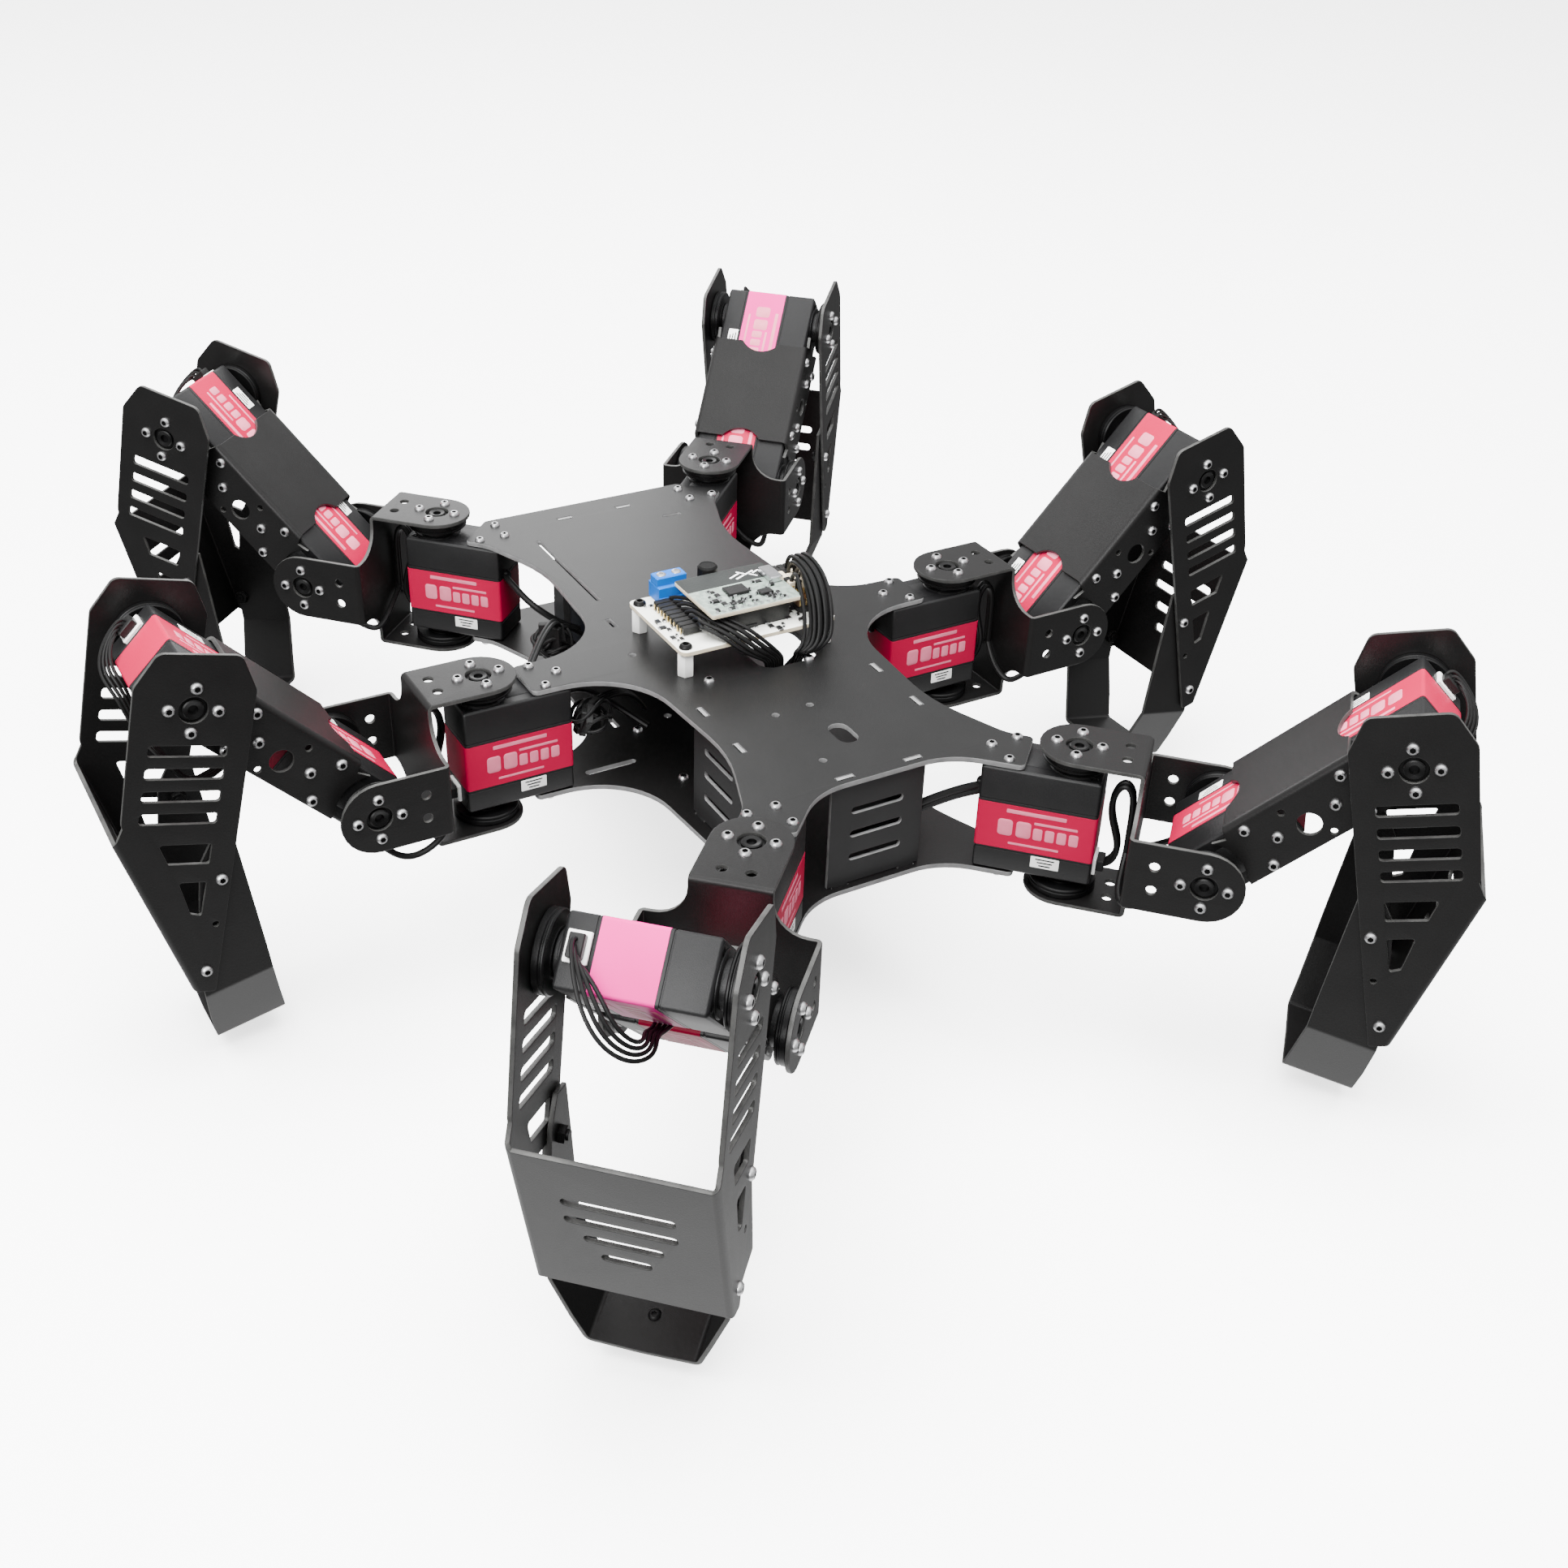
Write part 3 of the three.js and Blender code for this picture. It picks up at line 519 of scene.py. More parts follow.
CORNER_HIP = joint_at("hip_yaw_front_right")
MIDDLE_HIP = joint_at("hip_yaw_middle_right")
HIP_TO_PITCH = (JOINTS["femur_pitch_front_right"] - JOINTS["hip_yaw_front_right"]).length / MM
LEVEL = CORNER_HIP.z  # floor to the middle of the hip servos


def legs():
    """Each leg's name and the frames (metres) of its hip, femur, tibia and foot strap."""
    prefix = "hip_yaw_"
    for leg in [name[len(prefix) :] for name in JOINTS if name.startswith(prefix)]:
        hip, pitch, knee = (JOINTS[f"{kind}_{leg}"] for kind in ("hip_yaw", "femur_pitch", "knee"))
        out = (pitch - hip).normalized()
        side = Vector((0, 0, 1)).cross(out)
        along = (knee - pitch).normalized()
        yield leg, {
            "hip": axes(hip, out, side),
            "femur": axes(pitch, along, side),
            "tibia": axes(knee, tilted(out, TIBIA_LEAN), side),
            "strap": axes(knee, tilted(out, TIBIA_LEAN + STRAP_TILT), side),
        }


def tilted(out, lean):
    """The outward direction turned down by an angle."""
    return out * math.cos(lean) - Vector((0, 0, math.sin(lean)))


def axes(origin, x, y):
    """The frame at a place with those X and Y directions."""
    turn_to = Matrix((x, y, x.cross(y))).transposed().to_4x4()
    return Matrix.Translation(origin) @ turn_to


# ---------------------------------------------------------------- screws and horns
def button_screw(radius=2.0, height=1.25):
    """A domed socket screw standing on z = 0; the faces of its socket take the second material, which on the
    silver screws is painted shade inside the socket.
    """
    profile = [
        (0, 0.35),
        (radius * 0.48, 0.35),
        (radius * 0.5, height),
        (radius * 0.66, height),
        (radius * 0.92, height * 0.62),
        (radius, height * 0.2),
        (radius, -0.2),
        (0, -0.2),
    ]
    bm = turned(profile, 24, hexagon=(1, 2))
    # Faces inside the socket take the second material: painted shade in the recess.
    for face in bm.faces:
        middle = face.calc_center_median()
        if math.hypot(middle.x, middle.y) < radius * 0.52 and middle.z > 0:
            face.material_index = 1
    return bm


def horn():
    """A round horn from the servo's boss to the bracket arm; its centre ring stands in the arm's hole."""
    low = HORN_FACE - 3.7
    rim, groove, ring, hub = 11.4, 11.0, 3.3, 6.9
    profile = [
        (0, ARM_OUTER - 1.6),
        (1.5, ARM_OUTER - 1.6),
        (1.6, ARM_OUTER - 0.5),
        (2.9, ARM_OUTER - 0.2),
        (ring, ARM_OUTER - 0.5),
        (ring, HORN_FACE + 0.2),
        (4.6, HORN_FACE + 0.1),
        (4.6, HORN_FACE - 0.05),
        (rim - 0.5, HORN_FACE - 0.05),
        (rim, HORN_FACE - 0.5),
        (rim, HORN_FACE - 2.0),
        (groove, HORN_FACE - 2.3),
        (groove, HORN_FACE - 2.6),
        (rim, HORN_FACE - 2.9),
        (rim, low + 0.4),
        (groove, low),
        (hub, low),
        (hub, low - 0.4),
        (0, low - 0.4),
    ]
    return turned(profile, 48)


def both_horns():
    return both_ends(horn())


def both_ends(bm):
    """The piece and its copy at the other end of the servo's shaft."""
    return moved(bm, Matrix.Identity(4), turn(180, "X"))


def horn_screws():
    """Four screws through each bracket arm into its horn."""
    quarters = [math.pi / 2 * k for k in range(4)]
    places = [at(SCREW_CIRCLE * math.cos(a), SCREW_CIRCLE * math.sin(a), ARM_OUTER) for a in quarters]
    return both_ends(moved(button_screw(), *places))


# ---------------------------------------------------------------- servo
def servo_ring(inset):
    far, near, half = SERVO_FAR + inset, SERVO_END - inset, SERVO_HALF - inset
    corners = ((far, -half), (near, -half), (near, half), (far, half))
    return rounded([(x, y, 1.1) for x, y in corners], math.radians(30))


def seam(height):
    """A shallow groove round the case, as levels for stacked()."""
    return [(height - 0.3, 0), (height - 0.16, 0.22), (height + 0.16, 0.22), (height + 0.3, 0)]


def servo_case():
    """Three shells with their seams, both shaft bosses, and the case screws."""
    levels = [
        (-SERVO_TOP, 0.7),
        (-SERVO_TOP + 0.5, 0.12),
        (-SERVO_TOP + 0.9, 0),
        *seam(LABEL_LOW - 0.8),
        *seam(LABEL_TOP + 1.2),
        (SERVO_TOP - 0.9, 0),
        (SERVO_TOP - 0.5, 0.12),
        (SERVO_TOP, 0.7),
    ]
    boss = [(0, SERVO_TOP - 0.5), (9.0, SERVO_TOP - 0.5), (9.0, SERVO_TOP + 0.3), (8.6, SERVO_TOP + 0.6)]
    boss += [(6.6, SERVO_TOP + 0.6), (6.5, SERVO_TOP + 2.1), (6.2, SERVO_TOP + 2.4), (0, SERVO_TOP + 2.4)]
    cover = stacked(
        lambda inset: bar(-10, 0, 22 - 2 * inset, 11 - 2 * inset),
        [(SERVO_TOP - 0.4, 0), (SERVO_TOP + 0.1, 0), (SERVO_TOP + 0.25, 0.3)],
    )
    screws = moved(
        paint(button_screw(1.7, 0.6), 1),
        *(at(x, y, SERVO_TOP - 0.45) for x in (SERVO_FAR + 3.2, SERVO_END - 3.2) for y in (-6.9, 6.9)),
    )
    ends = both_ends(together(turned(boss, 40), cover, screws))
    return together(stacked(servo_ring, levels), ends)


def label_band():
    """A printed band of thin foil round the middle shell."""
    return stacked(
        lambda inset: servo_ring(inset - 0.09),
        [(LABEL_LOW, 0.09), (LABEL_LOW + 0.02, 0), (LABEL_TOP - 0.02, 0), (LABEL_TOP, 0.09)],
    )


def on_both_sides(flat, stand):
    """Copies of something flat on both broad sides of the case, that far from its middle."""
    near = at(0, -stand, 0) @ turn(90, "X")
    far = at(0, stand, 0) @ turn(180, "Z") @ turn(90, "X") @ at(-SERVO_FAR - SERVO_END, 0, 0)
    return moved(flat, near, far)


def label_marks():
    """Plain bars and blocks on both broad sides, in place of any lettering."""
    thick = 0.03
    shapes = [bar(-10, 4.2, 20, 1.5, 0.3), bar(-10, -8.4, 17, 0.9, 0.2)]
    shapes += [bar(-20.0 + 6.2 * k, -2.4, 5.0, 6.4, 1.2) for k in range(2)]
    shapes += [bar(-9.0 + 4.0 * k, -3.2, 3.1, 4.6, 0.7) for k in range(4)]
    shapes += [bar(-3.2, 0.9, 14.5, 1.0, 0.3)]
    side = together(*(sheet(shape, [], thick, 0.01) for shape in shapes))
    return on_both_sides(side, SERVO_HALF + 0.1 + thick / 2)


def sticker():
    """A small white sticker below the band on both broad sides, with three plain bars."""
    middle = -5.5
    card = paint(sheet(bar(middle, -14.2, 9.6, 4.4, 0.3), [], 0.05, 0.015), 0)
    bars = [bar(middle, -13.0 - 1.2 * k, 6.5 - 1.3 * k, 0.5, 0.1) for k in range(3)]
    lines = together(*(paint(sheet(line, [], 0.03, 0.01), 1) for line in bars))
    return on_both_sides(together(card, moved(lines, at(0, 0, 0.04))), SERVO_HALF + 0.03)


def lead_socket():
    """The white three-pin socket on the end of the case next to the shaft."""
    shell = paint(block(SERVO_END - 0.5, SERVO_END + 1.1, -5.2, 3.2, -18.6, -12.2, 0.3), 0)
    plug = paint(block(SERVO_END + 0.9, SERVO_END + 3.6, -4.2, 2.2, -17.4, -13.2, 0.3), 1)
    return together(shell, plug)


# ---------------------------------------------------------------- brackets
HORN_HOLE = 4.5
SLOT_CORNER = 0.8
LONG_ENOUGH = 200.0  # a section's last flat, longer than any flange


def hip_bracket():
    """A cross of sheet: two arms bent back to the hip servo's horns, two bent on to the pitch servo's."""
    web = HIP_TO_WEB - SHEET / 2
    middle = ARM_OUTER - SHEET / 2
    section = Section([(0, 0), (middle, 0), (middle, LONG_ENOUGH)])
    hip_at = section.after(0, web)
    pitch_at = section.after(0, HIP_TO_PITCH - web)
    fillet, before_horn, screw_across, screw_hole = 11, 16.3, 4.5, 1.75
    corner = arc(ARM_WIDE + fillet, ARM_WIDE + fillet, fillet, 270, 180, 7)
    outline = []
    for quarter in range(4):
        tip = arc((pitch_at, hip_at)[quarter % 2], 0, ARM_WIDE, -90, 90, 14)
        spun = Matrix.Rotation(math.radians(90 * quarter), 2)
        outline += [tuple(spun @ Vector(point)) for point in tip + corner]
    holes = []
    for side in (-1, 1):
        holes.append(circle(side * pitch_at, 0, HORN_HOLE))
        holes.append(circle(0, side * hip_at, HORN_HOLE))
        for across in (-screw_across, screw_across):
            holes.append(circle(across, side * (hip_at - before_horn), screw_hole, 16))
            holes.append(circle(side * (pitch_at - before_horn), across, screw_hole, 16))
    bm = sheet(outline, holes, SHEET)
    fold(bm, 1, section)
    fold(bm, 0, section, -1)
    to_bracket = Matrix(((0, 0, 1, web), (1, 0, 0, 0), (0, 1, 0, 0), (0, 0, 0, 1)))
    bmesh.ops.transform(bm, matrix=to_bracket, verts=bm.verts)
    return bm


def femur_bracket():
    """A channel over both servos: notched web above, two flanges cut round the shafts."""
    web = SERVO_HALF + 0.3 + SHEET / 2
    middle = PLATE_LOW + SHEET / 2
    section = Section([(0, 0), (middle, 0), (middle, LONG_ENOUGH)])
    end, clear_radius, notch_half, notch_deep = 15.3, 13, 8.5, 4.4
    notch_radius = (notch_half**2 + notch_deep**2) / (2 * notch_deep)
    half_turn = math.degrees(math.asin(notch_half / notch_radius))

    def flange(x, height):
        return (x, section.after(0, web - height))

    def side(way):
        """From the web's corner at the pitch end round the flange to the knee end, for way 1."""
        clear = [flange(x, height) for x, height in arc(0, 0, clear_radius, 45, -36, 9)]
        start = [(end, section.bends[0][0] - 0.5), flange(end - 1.5, web - 3.2)]
        low = flange(10.2, -SERVO_HALF)
        half_path = [*start, *clear, low]
        mirrored = [(PITCH_TO_KNEE - u, v) for u, v in reversed(half_path)]
        return [(u, way * v) for u, v in half_path + mirrored]

    near = arc(end + notch_deep - notch_radius, 0, notch_radius, -half_turn, half_turn, 10)
    far = [(PITCH_TO_KNEE - u, v) for u, v in reversed(near)]
    outline = [*near, *side(1), *far, *reversed(side(-1))]
    half = PITCH_TO_KNEE / 2
    round_holes = ((half, -1.5, 4.0, 28), (half - 4.6, 6.6, 1.2, 14), (half + 4.6, -7.8, 1.2, 14))
    holes = []
    for way in (-1, 1):
        for x, height, radius, sides in round_holes:
            u, v = flange(x, height)
            holes.append(circle(u, way * v, radius, sides))
    bm = sheet(outline, holes, SHEET)
    fold(bm, 1, section)
    bmesh.ops.transform(bm, matrix=at(0, 0, web), verts=bm.verts)
    return bm


TIBIA_ELBOW = (47.5, 18.5)
TIBIA_TOE = (103.0, -13.0)


def tibia_bracket():
    """A slotted U: a slanted web at the outer toe, and two long flanges up to the knee."""
    elbow, toe = Vector(TIBIA_ELBOW), Vector(TIBIA_TOE)
    down = (toe - elbow).normalized()
    inward = Vector((down.y, -down.x))
    middle = ARM_OUTER - SHEET / 2
    section = Section([(0, 0), (middle, 0), (middle, LONG_ENOUGH)])

    def flat(x, z):
        """A flange point, from the tibia's axes to the flat sheet."""
        from_elbow = Vector((x, z)) - elbow
        return (from_elbow.dot(down), section.after(0, from_elbow.dot(inward) - SHEET / 2))

    head = [(-7, 18.5, 3.5), (-18.5, 12.5, 3.5), (-18.5, -12.5, 3.5), (-7, -18.5, 3.5)]
    outer_edge = rounded([(39.5, 17.1, 6), *head, (103, -20, 1), (103, -14)])
    edge = [(0.3, section.bends[0][0])] + [flat(x, z) for x, z in outer_edge]
    length = (toe - elbow).length
    edge.append((length - 0.3, section.bends[0][0]))
    outline = edge + [(u, -v) for u, v in reversed(edge)]
    slot_step, web_slot_step, slot_low = 7.87, 8.4, -11.6
    shapes = [bar(13.9 + slot_step * k, 0, 3.8, 24, 1.2) for k in range(4)]
    for corners in (
        ((46.8, slot_low), (54, slot_low), (54, 1.2), (46.8, 5)),
        ((60.8, slot_low), (73.4, slot_low), (72.6, -8), (60.8, -2.8)),
    ):
        shapes.append(rounded([(x, z, SLOT_CORNER) for x, z in corners]))
    shapes += [circle(0, 0, HORN_HOLE), circle(76.8, -16.6, 1.1, 14)]
    holes = [[(u, way * v) for u, v in (flat(x, z) for x, z in shape)] for shape in shapes for way in (-1, 1)]
    for k, wide in enumerate((31, 31, 22, 14)):
        holes.append(bar(19.5 + web_slot_step * k, 0, 3.2, wide))
    bm = sheet(outline, holes, SHEET)
    fold(bm, 1, section)
    start = elbow + inward * SHEET / 2
    across, depth = (down.x, 0, -inward.x, start.x), (down.y, 0, -inward.y, start.y)
    to_tibia = Matrix((across, (0, 1, 0, 0), depth, (0, 0, 0, 1)))
    bmesh.ops.transform(bm, matrix=to_tibia, verts=bm.verts)
    return bm


def foot_strap():
    """A narrower strap inside the tibia bracket: two flanges, two slanted cheeks and a sole."""
    side = STRAP_OUTER - SHEET / 2
    sole, bend_depth, sole_depth = 16.5, 103.3, SOLE_DEPTH - SHEET / 2
    cheek = math.hypot(side - sole, sole_depth - bend_depth)
    section = Section([(0, 0), (sole, 0), (side, sole_depth - bend_depth), (side, LONG_ENOUGH)], 2.2)
    spin = Matrix.Rotation(STRAP_TILT, 2)

    def flat(x, z):
        """A point in the tibia's axes to the flat sheet: u across the strap's width."""
        depth, across = spin @ Vector((x, z))
        if depth >= sole_depth:
            return (across, 0)
        if depth >= bend_depth:
            return (across, section.after(0, cheek * (sole_depth - depth) / (sole_depth - bend_depth)))
        return (across, section.after(1, bend_depth - depth))

    inner = [(46, -12), (46, -19), (60, -24.6), (75, -30.5), (88, -35.6), (96.5, -38.8)]
    inner += [(110, -44.9), (122, -50.4)]
    outer = [(133, -28.5), (120, -22.8), (107.5, -18), (97, -14.4), (85, -13), (70, -11), (56, -9.3)]
    inner_edge = [flat(x, z) for x, z in inner]
    outer_edge = [flat(x, z) for x, z in outer]
    sole_inner, sole_outer = inner_edge[-1][0], outer_edge[0][0]
    path = outer_edge + inner_edge
    mirrored = [(u, -v) for u, v in reversed(path[1:-1])]
    middle = (sole_inner + sole_outer) / 2
    bm = sheet(path + mirrored, [circle(middle, 0, 1.9, 18)], SHEET)
    fold(bm, 1, section)
    to_strap = Matrix(((0, 0, 1, sole_depth), (0, 1, 0, 0), (1, 0, 0, 0), (0, 0, 0, 1)))
    bmesh.ops.transform(bm, matrix=to_strap, verts=bm.verts)
    return bm


def foot_pad():
    """A rubber foot below the sole, long enough for its round end to touch the floor."""
    radius, clear = 6.5, 0.35
    lean = TIBIA_LEAN + STRAP_TILT
    sole_height = joint_at("knee_middle_right").z - SOLE_DEPTH * math.sin(lean) + PAD_ACROSS * math.cos(lean)
    straight = (sole_height - radius) / math.sin(lean)
    profile = [(0, 0.3), (4.6, 0.3), (4.8, 0.9), (radius - 0.3, 1.1), (radius, 1.5)]
    for k in range(9):
        angle = math.pi / 2 * k / 8
        profile.append((radius * math.cos(angle), straight + (radius - clear) * math.sin(angle)))
    profile[-1] = (0, straight + radius - clear)
    return moved(turned(profile, 36), at(SOLE_DEPTH, 0, PAD_ACROSS) @ turn(90, "Y"))


# ---------------------------------------------------------------- one leg
def in_mm(x, y, z):
    return Matrix.Translation((x * MM, y * MM, z * MM))


def socket_side(leg):
    """Which way along the shaft each pitch and knee servo has its socket: always to the robot's front."""
    return -1 if leg.endswith("left") else 1


def servo_matrix(places, which, way):
    """The servo's own axes: shaft along Z, case towards -X."""
    if which == "hip":
        return places["hip"]
    if which == "pitch":
        return places["femur"] @ turn(180, "Z") @ turn(-90 * way, "X")
    return places["femur"] @ in_mm(PITCH_TO_KNEE, 0, 0) @ turn(90 * way, "X")


def make_shapes():
    """The meshes that all six legs share."""
    sheet_metals = [BLACK_SHEET, DARK_EDGE]
    table = {
        "servo_case": (servo_case, [SERVO_BLACK, BLACK_STEEL_AND_SOCKET_SHADE]),
        "label_band": (label_band, [LABEL_RED]),
        "pink_band": (label_band, [LABEL_PINK]),
        "label_marks": (label_marks, [LABEL_INK]),
        "sticker": (sticker, [STICKER, CHIP]),
        "socket": (lead_socket, [NYLON, CHIP]),
        "horns": (both_horns, [HORN_BLACK]),
        "horn_screws": (horn_screws, SCREW_METALS_AND_SOCKET_SHADE),
        "hip_bracket": (hip_bracket, sheet_metals),
        "femur_bracket": (femur_bracket, sheet_metals),
        "tibia_bracket": (tibia_bracket, sheet_metals),
        "foot_strap": (foot_strap, sheet_metals),
        "foot_pad": (foot_pad, [RUBBER]),
        "femur_screws": (femur_screws, SCREW_METALS_AND_SOCKET_SHADE),
        "tibia_screws": (tibia_screws, SCREW_METALS_AND_SOCKET_SHADE),
        "sole_screw": (sole_screw, [BLACK_STEEL_AND_SOCKET_SHADE, BLACK_STEEL_AND_SOCKET_SHADE]),
    }
    return {name: mesh_from(name, make(), materials) for name, (make, materials) in table.items()}


def femur_screws():
    """Three screws through each flange into each of the two servos."""
    face = PLATE_LOW + SHEET
    spots = []
    for x, z in ((20.6, 7.6), (20.6, -7.6), (27.7, 0)):
        spots += [(x, z), (PITCH_TO_KNEE - x, z)]
    ends = [at(x, -face, z) @ turn(90, "X") for x, z in spots]
    ends += [at(x, face, z) @ turn(-90, "X") for x, z in spots]
    return moved(button_screw(), *ends)


def tibia_screws():
    """Two screws on each flange, which hold the foot strap; their nuts are inside."""
    spots = ((59.9, -16.3), (94.7, -15.9))
    outside = [at(x, way * ARM_OUTER, z) @ turn(-90 * way, "X") for x, z in spots for way in (-1, 1)]
    inner = STRAP_OUTER - SHEET
    profile = [(0, 0), (2.75, 0), (2.9, 0.25), (2.9, 1.9), (2.75, 2.1), (1.6, 2.1), (1.5, 2.8), (0, 2.8)]
    nut = turned(profile, 24, (1, 2, 3, 4))
    inside = [at(x, way * inner, z) @ turn(90 * way, "X") for x, z in spots for way in (-1, 1)]
    return together(moved(button_screw(), *outside), moved(paint(nut, 1), *inside))


def sole_screw():
    return moved(button_screw(1.8, 1.1), at(SOLE_DEPTH - SHEET, 0, PAD_ACROSS) @ turn(-90, "Y"))


def make_leg(leg, places, shapes):
    """Every piece of one leg apart from its leads; a carrier is the body that holds a servo's horns."""
    hip, femur, tibia = (f"{part}_{leg}" for part in ("hip", "femur", "tibia"))
    for which, body, carrier in (("hip", "chassis", hip), ("pitch", femur, hip), ("knee", femur, tibia)):
        spot = servo_matrix(places, which, socket_side(leg))
        band = "pink_band" if which == "knee" and leg in ("rear_left", "front_right") else "label_band"
        name = f"{which}_servo"
        put(f"{name}_case_{leg}", shapes["servo_case"], spot, body, "servo_plastic", [f"{name}_{leg}"])
        put(f"{name}_label_{leg}", shapes[band], spot, body, "red_label")
        for part in ("label_marks", "sticker", "socket"):
            put(f"{name}_{part}_{leg}", shapes[part], spot, body, "white_nylon")
        level = level_at(places, which)
        put(f"{which}_horns_{leg}", shapes["horns"], level, carrier, "black_sheet")
        put(f"{which}_horn_screws_{leg}", shapes["horn_screws"], level, carrier, "steel_screws")
    for name, place, body in (
        ("hip_bracket", "hip", hip),
        ("femur_bracket", "femur", femur),
        ("tibia_bracket", "tibia", tibia),
        ("foot_strap", "strap", tibia),
    ):
        put(f"{name}_sheet_{leg}", shapes[name], places[place], body, "black_sheet", [f"{name}_{leg}"], True)
    put(f"foot_pad_rubber_{leg}", shapes["foot_pad"], places["strap"], tibia, "rubber", [f"foot_pad_{leg}"])
    for name, place, body in (
        ("femur_screws", "femur", femur),
        ("tibia_screws", "tibia", tibia),
        ("sole_screw", "strap", tibia),
    ):
        put(f"{name}_{leg}", shapes[name], places[place], body, "steel_screws")


def level_at(places, joint):
    """Axes for the horns at a joint: Z along the shaft."""
    if joint == "hip":
        return places["hip"]
    if joint == "knee":
        return places["tibia"] @ turn(90, "X")
    across = places["hip"].to_3x3().to_4x4()
    return Matrix.Translation(places["femur"].translation) @ across @ turn(90, "X")


# ---------------------------------------------------------------- leads of one leg
def hip_lead():
    """In the hip's axes: out of the servo's socket, up in an S, over under the arm and down the web."""
    points = [(12.6, -1, -15.3), (15.6, -1.2, -14.5), (18.0, -2, -8), (15.5, -3, 0), (13.0, -3, 8)]
    points += [(14.0, -3, 15.5), (17.0, -3, 18.8), (19.9, -3, 15.5), (20.4, -3, 8), (20.3, -3, 0)]
    points.append((20.3, -3, -8))
    pair = [[(x, y + shift, z + 0.3 * shift) for x, y, z in points] for shift in (-0.8, 0.8)]
    return together(*(wire(route, 1.1) for route in pair))


def pitch_leads(way, sag):
    """In the hip's axes: round both sides of the web to the pitch servo's socket and into the femur."""
    rise = math.radians(46)
    across, down = SOCKET_OUT * math.cos(rise), SOCKET_OUT * math.sin(rise)
    socket = (HIP_TO_PITCH - across, SOCKET_ALONG * way, -down)
    first = [(20.3, -2.2, -8), (19.8, 6 * way, -14), (19.7, 14 * way, -18), (22.5, 18.6 * way, -19.6)]
    first += [(27.5, 18.6 * way, -18.6), (33, 16.8 * way, -14), socket]
    second = [(20.3, -3.8, -8), (19.8, -8 * way, -14), (19.7, -14.5 * way, -18), (22.5, -18.6 * way, -20)]
    second += [(31, -17.5 * way, -20 - sag), (41, -16 * way, -19 - sag)]
    second += [(49, -13 * way, -11), (55, -10 * way, -1)]
    return together(wire(first, 1.15), wire(second, 1.15))


def knee_leads(way, hang, droop):
    """In the femur's axes: four thin leads fan out of the knee servo's socket and turn under it.

    Hang lowers the turn itself, and droop lowers the run under the femur.
    """
    wires = []
    for k in range(4):
        shift = 1.7 * (k - 1.5)
        lane = (1.8 + 0.05 * hang) * (k - 1.5)
        points = [
            (SOCKET_OUT, SOCKET_ALONG * way, shift),
            (14.2 + 0.4 * k, (15.2 + 0.3 * lane) * way, shift + 0.2),
            (14.7 + 0.4 * k, (14.0 - 0.12 * hang + 0.6 * lane) * way, 0.5 * shift - 3.4),
            (13.8 + 0.4 * k, (10.8 - 0.3 * hang + 0.8 * lane) * way, -9.2 - 0.4 * lane - 0.3 * hang),
            (10.8 + 0.4 * k, (7.0 - 0.45 * hang + 0.4 * lane) * way, -13.4 - 0.8 * lane - 0.7 * hang),
            (5.5, (2.0 - 0.6 * hang) * way, -14.6 - 0.8 * lane - 0.9 * hang),
            (-5.0, (0.4 - 0.6 * lane - 0.6 * hang) * way, -14.4 - 0.5 * lane - 0.5 * hang - 0.6 * droop),
            (-17.0, 0.9 * droop - 0.5 * lane * way, -13.4 - 0.8 * droop),
            (-29.0, 0.9 * droop - 0.5 * lane * way, -12.2 - 1.15 * droop),
            (-37.0, -lane * way, -5.0),
        ]
        wires.append(wire([(PITCH_TO_KNEE + x, y, z) for x, y, z in points], 0.6))
    return together(*wires)


def inner_lead(points, doubled):
    """In the hip's axes: from the inner end of the hip servo, along the given points and inside."""
    start = points[0]
    collar = stacked(
        lambda inset: bar(0, 0, 4.6 - 2 * inset, 3.4 - 2 * inset, 1.2),
        [(0, 0), (1.6, 0), (2.2, 0.6)],
    )
    grip = moved(collar, at(SERVO_FAR + 0.2, start[1], start[2]) @ turn(-90, "Y"))
    below = [(x, y, z - 2.3) for x, y, z in points]
    routes = [points, below] if doubled else [points]
    return together(grip, *(wire(route, 1.3) for route in routes))


def inner_route(leg):
    """Round the plate's waist; the rear right lead goes straight behind the end panel."""
    if leg == "rear_right":
        points = [(-29.4, -3, 8.6), (-36, -5, 7.2), (-47, -9, 2.4), (-58, -13, -3.6)]
        return points + [(-69, -17, -9.4), (-78, -20, -14)]
    way = 1 if leg in ("front_left", "middle_right") else -1
    points = [(-29.4, 4, 7), (-34, 9, 7.5), (-42, 15.5, 5), (-51, 17, 0), (-59, 12, -7), (-66, 4, -12)]
    return [(x, way * y, z) for x, y, z in points]


def make_leads(leg, places):
    """The hip and pitch leads are fixed where they are made, on no body; the knee and inner leads ride one.
    """
    way = socket_side(leg)
    hip, femur = places["hip"], places["femur"]

    def blended(name, bm, first, second):
        piece = link(name, mesh_from(name, bm, [LEAD]), hip, "black_lead")
        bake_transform(piece)

    hip_body, femur_body = f"hip_{leg}", f"femur_{leg}"
    blended(f"hip_lead_{leg}", hip_lead(), "chassis", hip_body)
    routes = pitch_leads(way, 6.5 if leg == "middle_left" else -3.0)
    blended(f"pitch_leads_{leg}", routes, hip_body, femur_body)
    hang, droop = {"rear_left": (8.0, 0.0), "middle_left": (0.0, 13.0)}.get(leg, (0.0, 0.0))
    made = mesh_from(f"knee_leads_{leg}", knee_leads(way, hang, droop), [LEAD])
    put(f"knee_leads_{leg}", made, femur, femur_body, "black_lead")
    made = mesh_from(f"inner_lead_{leg}", inner_lead(inner_route(leg), leg == "rear_right"), [LEAD])
    put(f"inner_lead_{leg}", made, hip, "chassis", "black_lead")


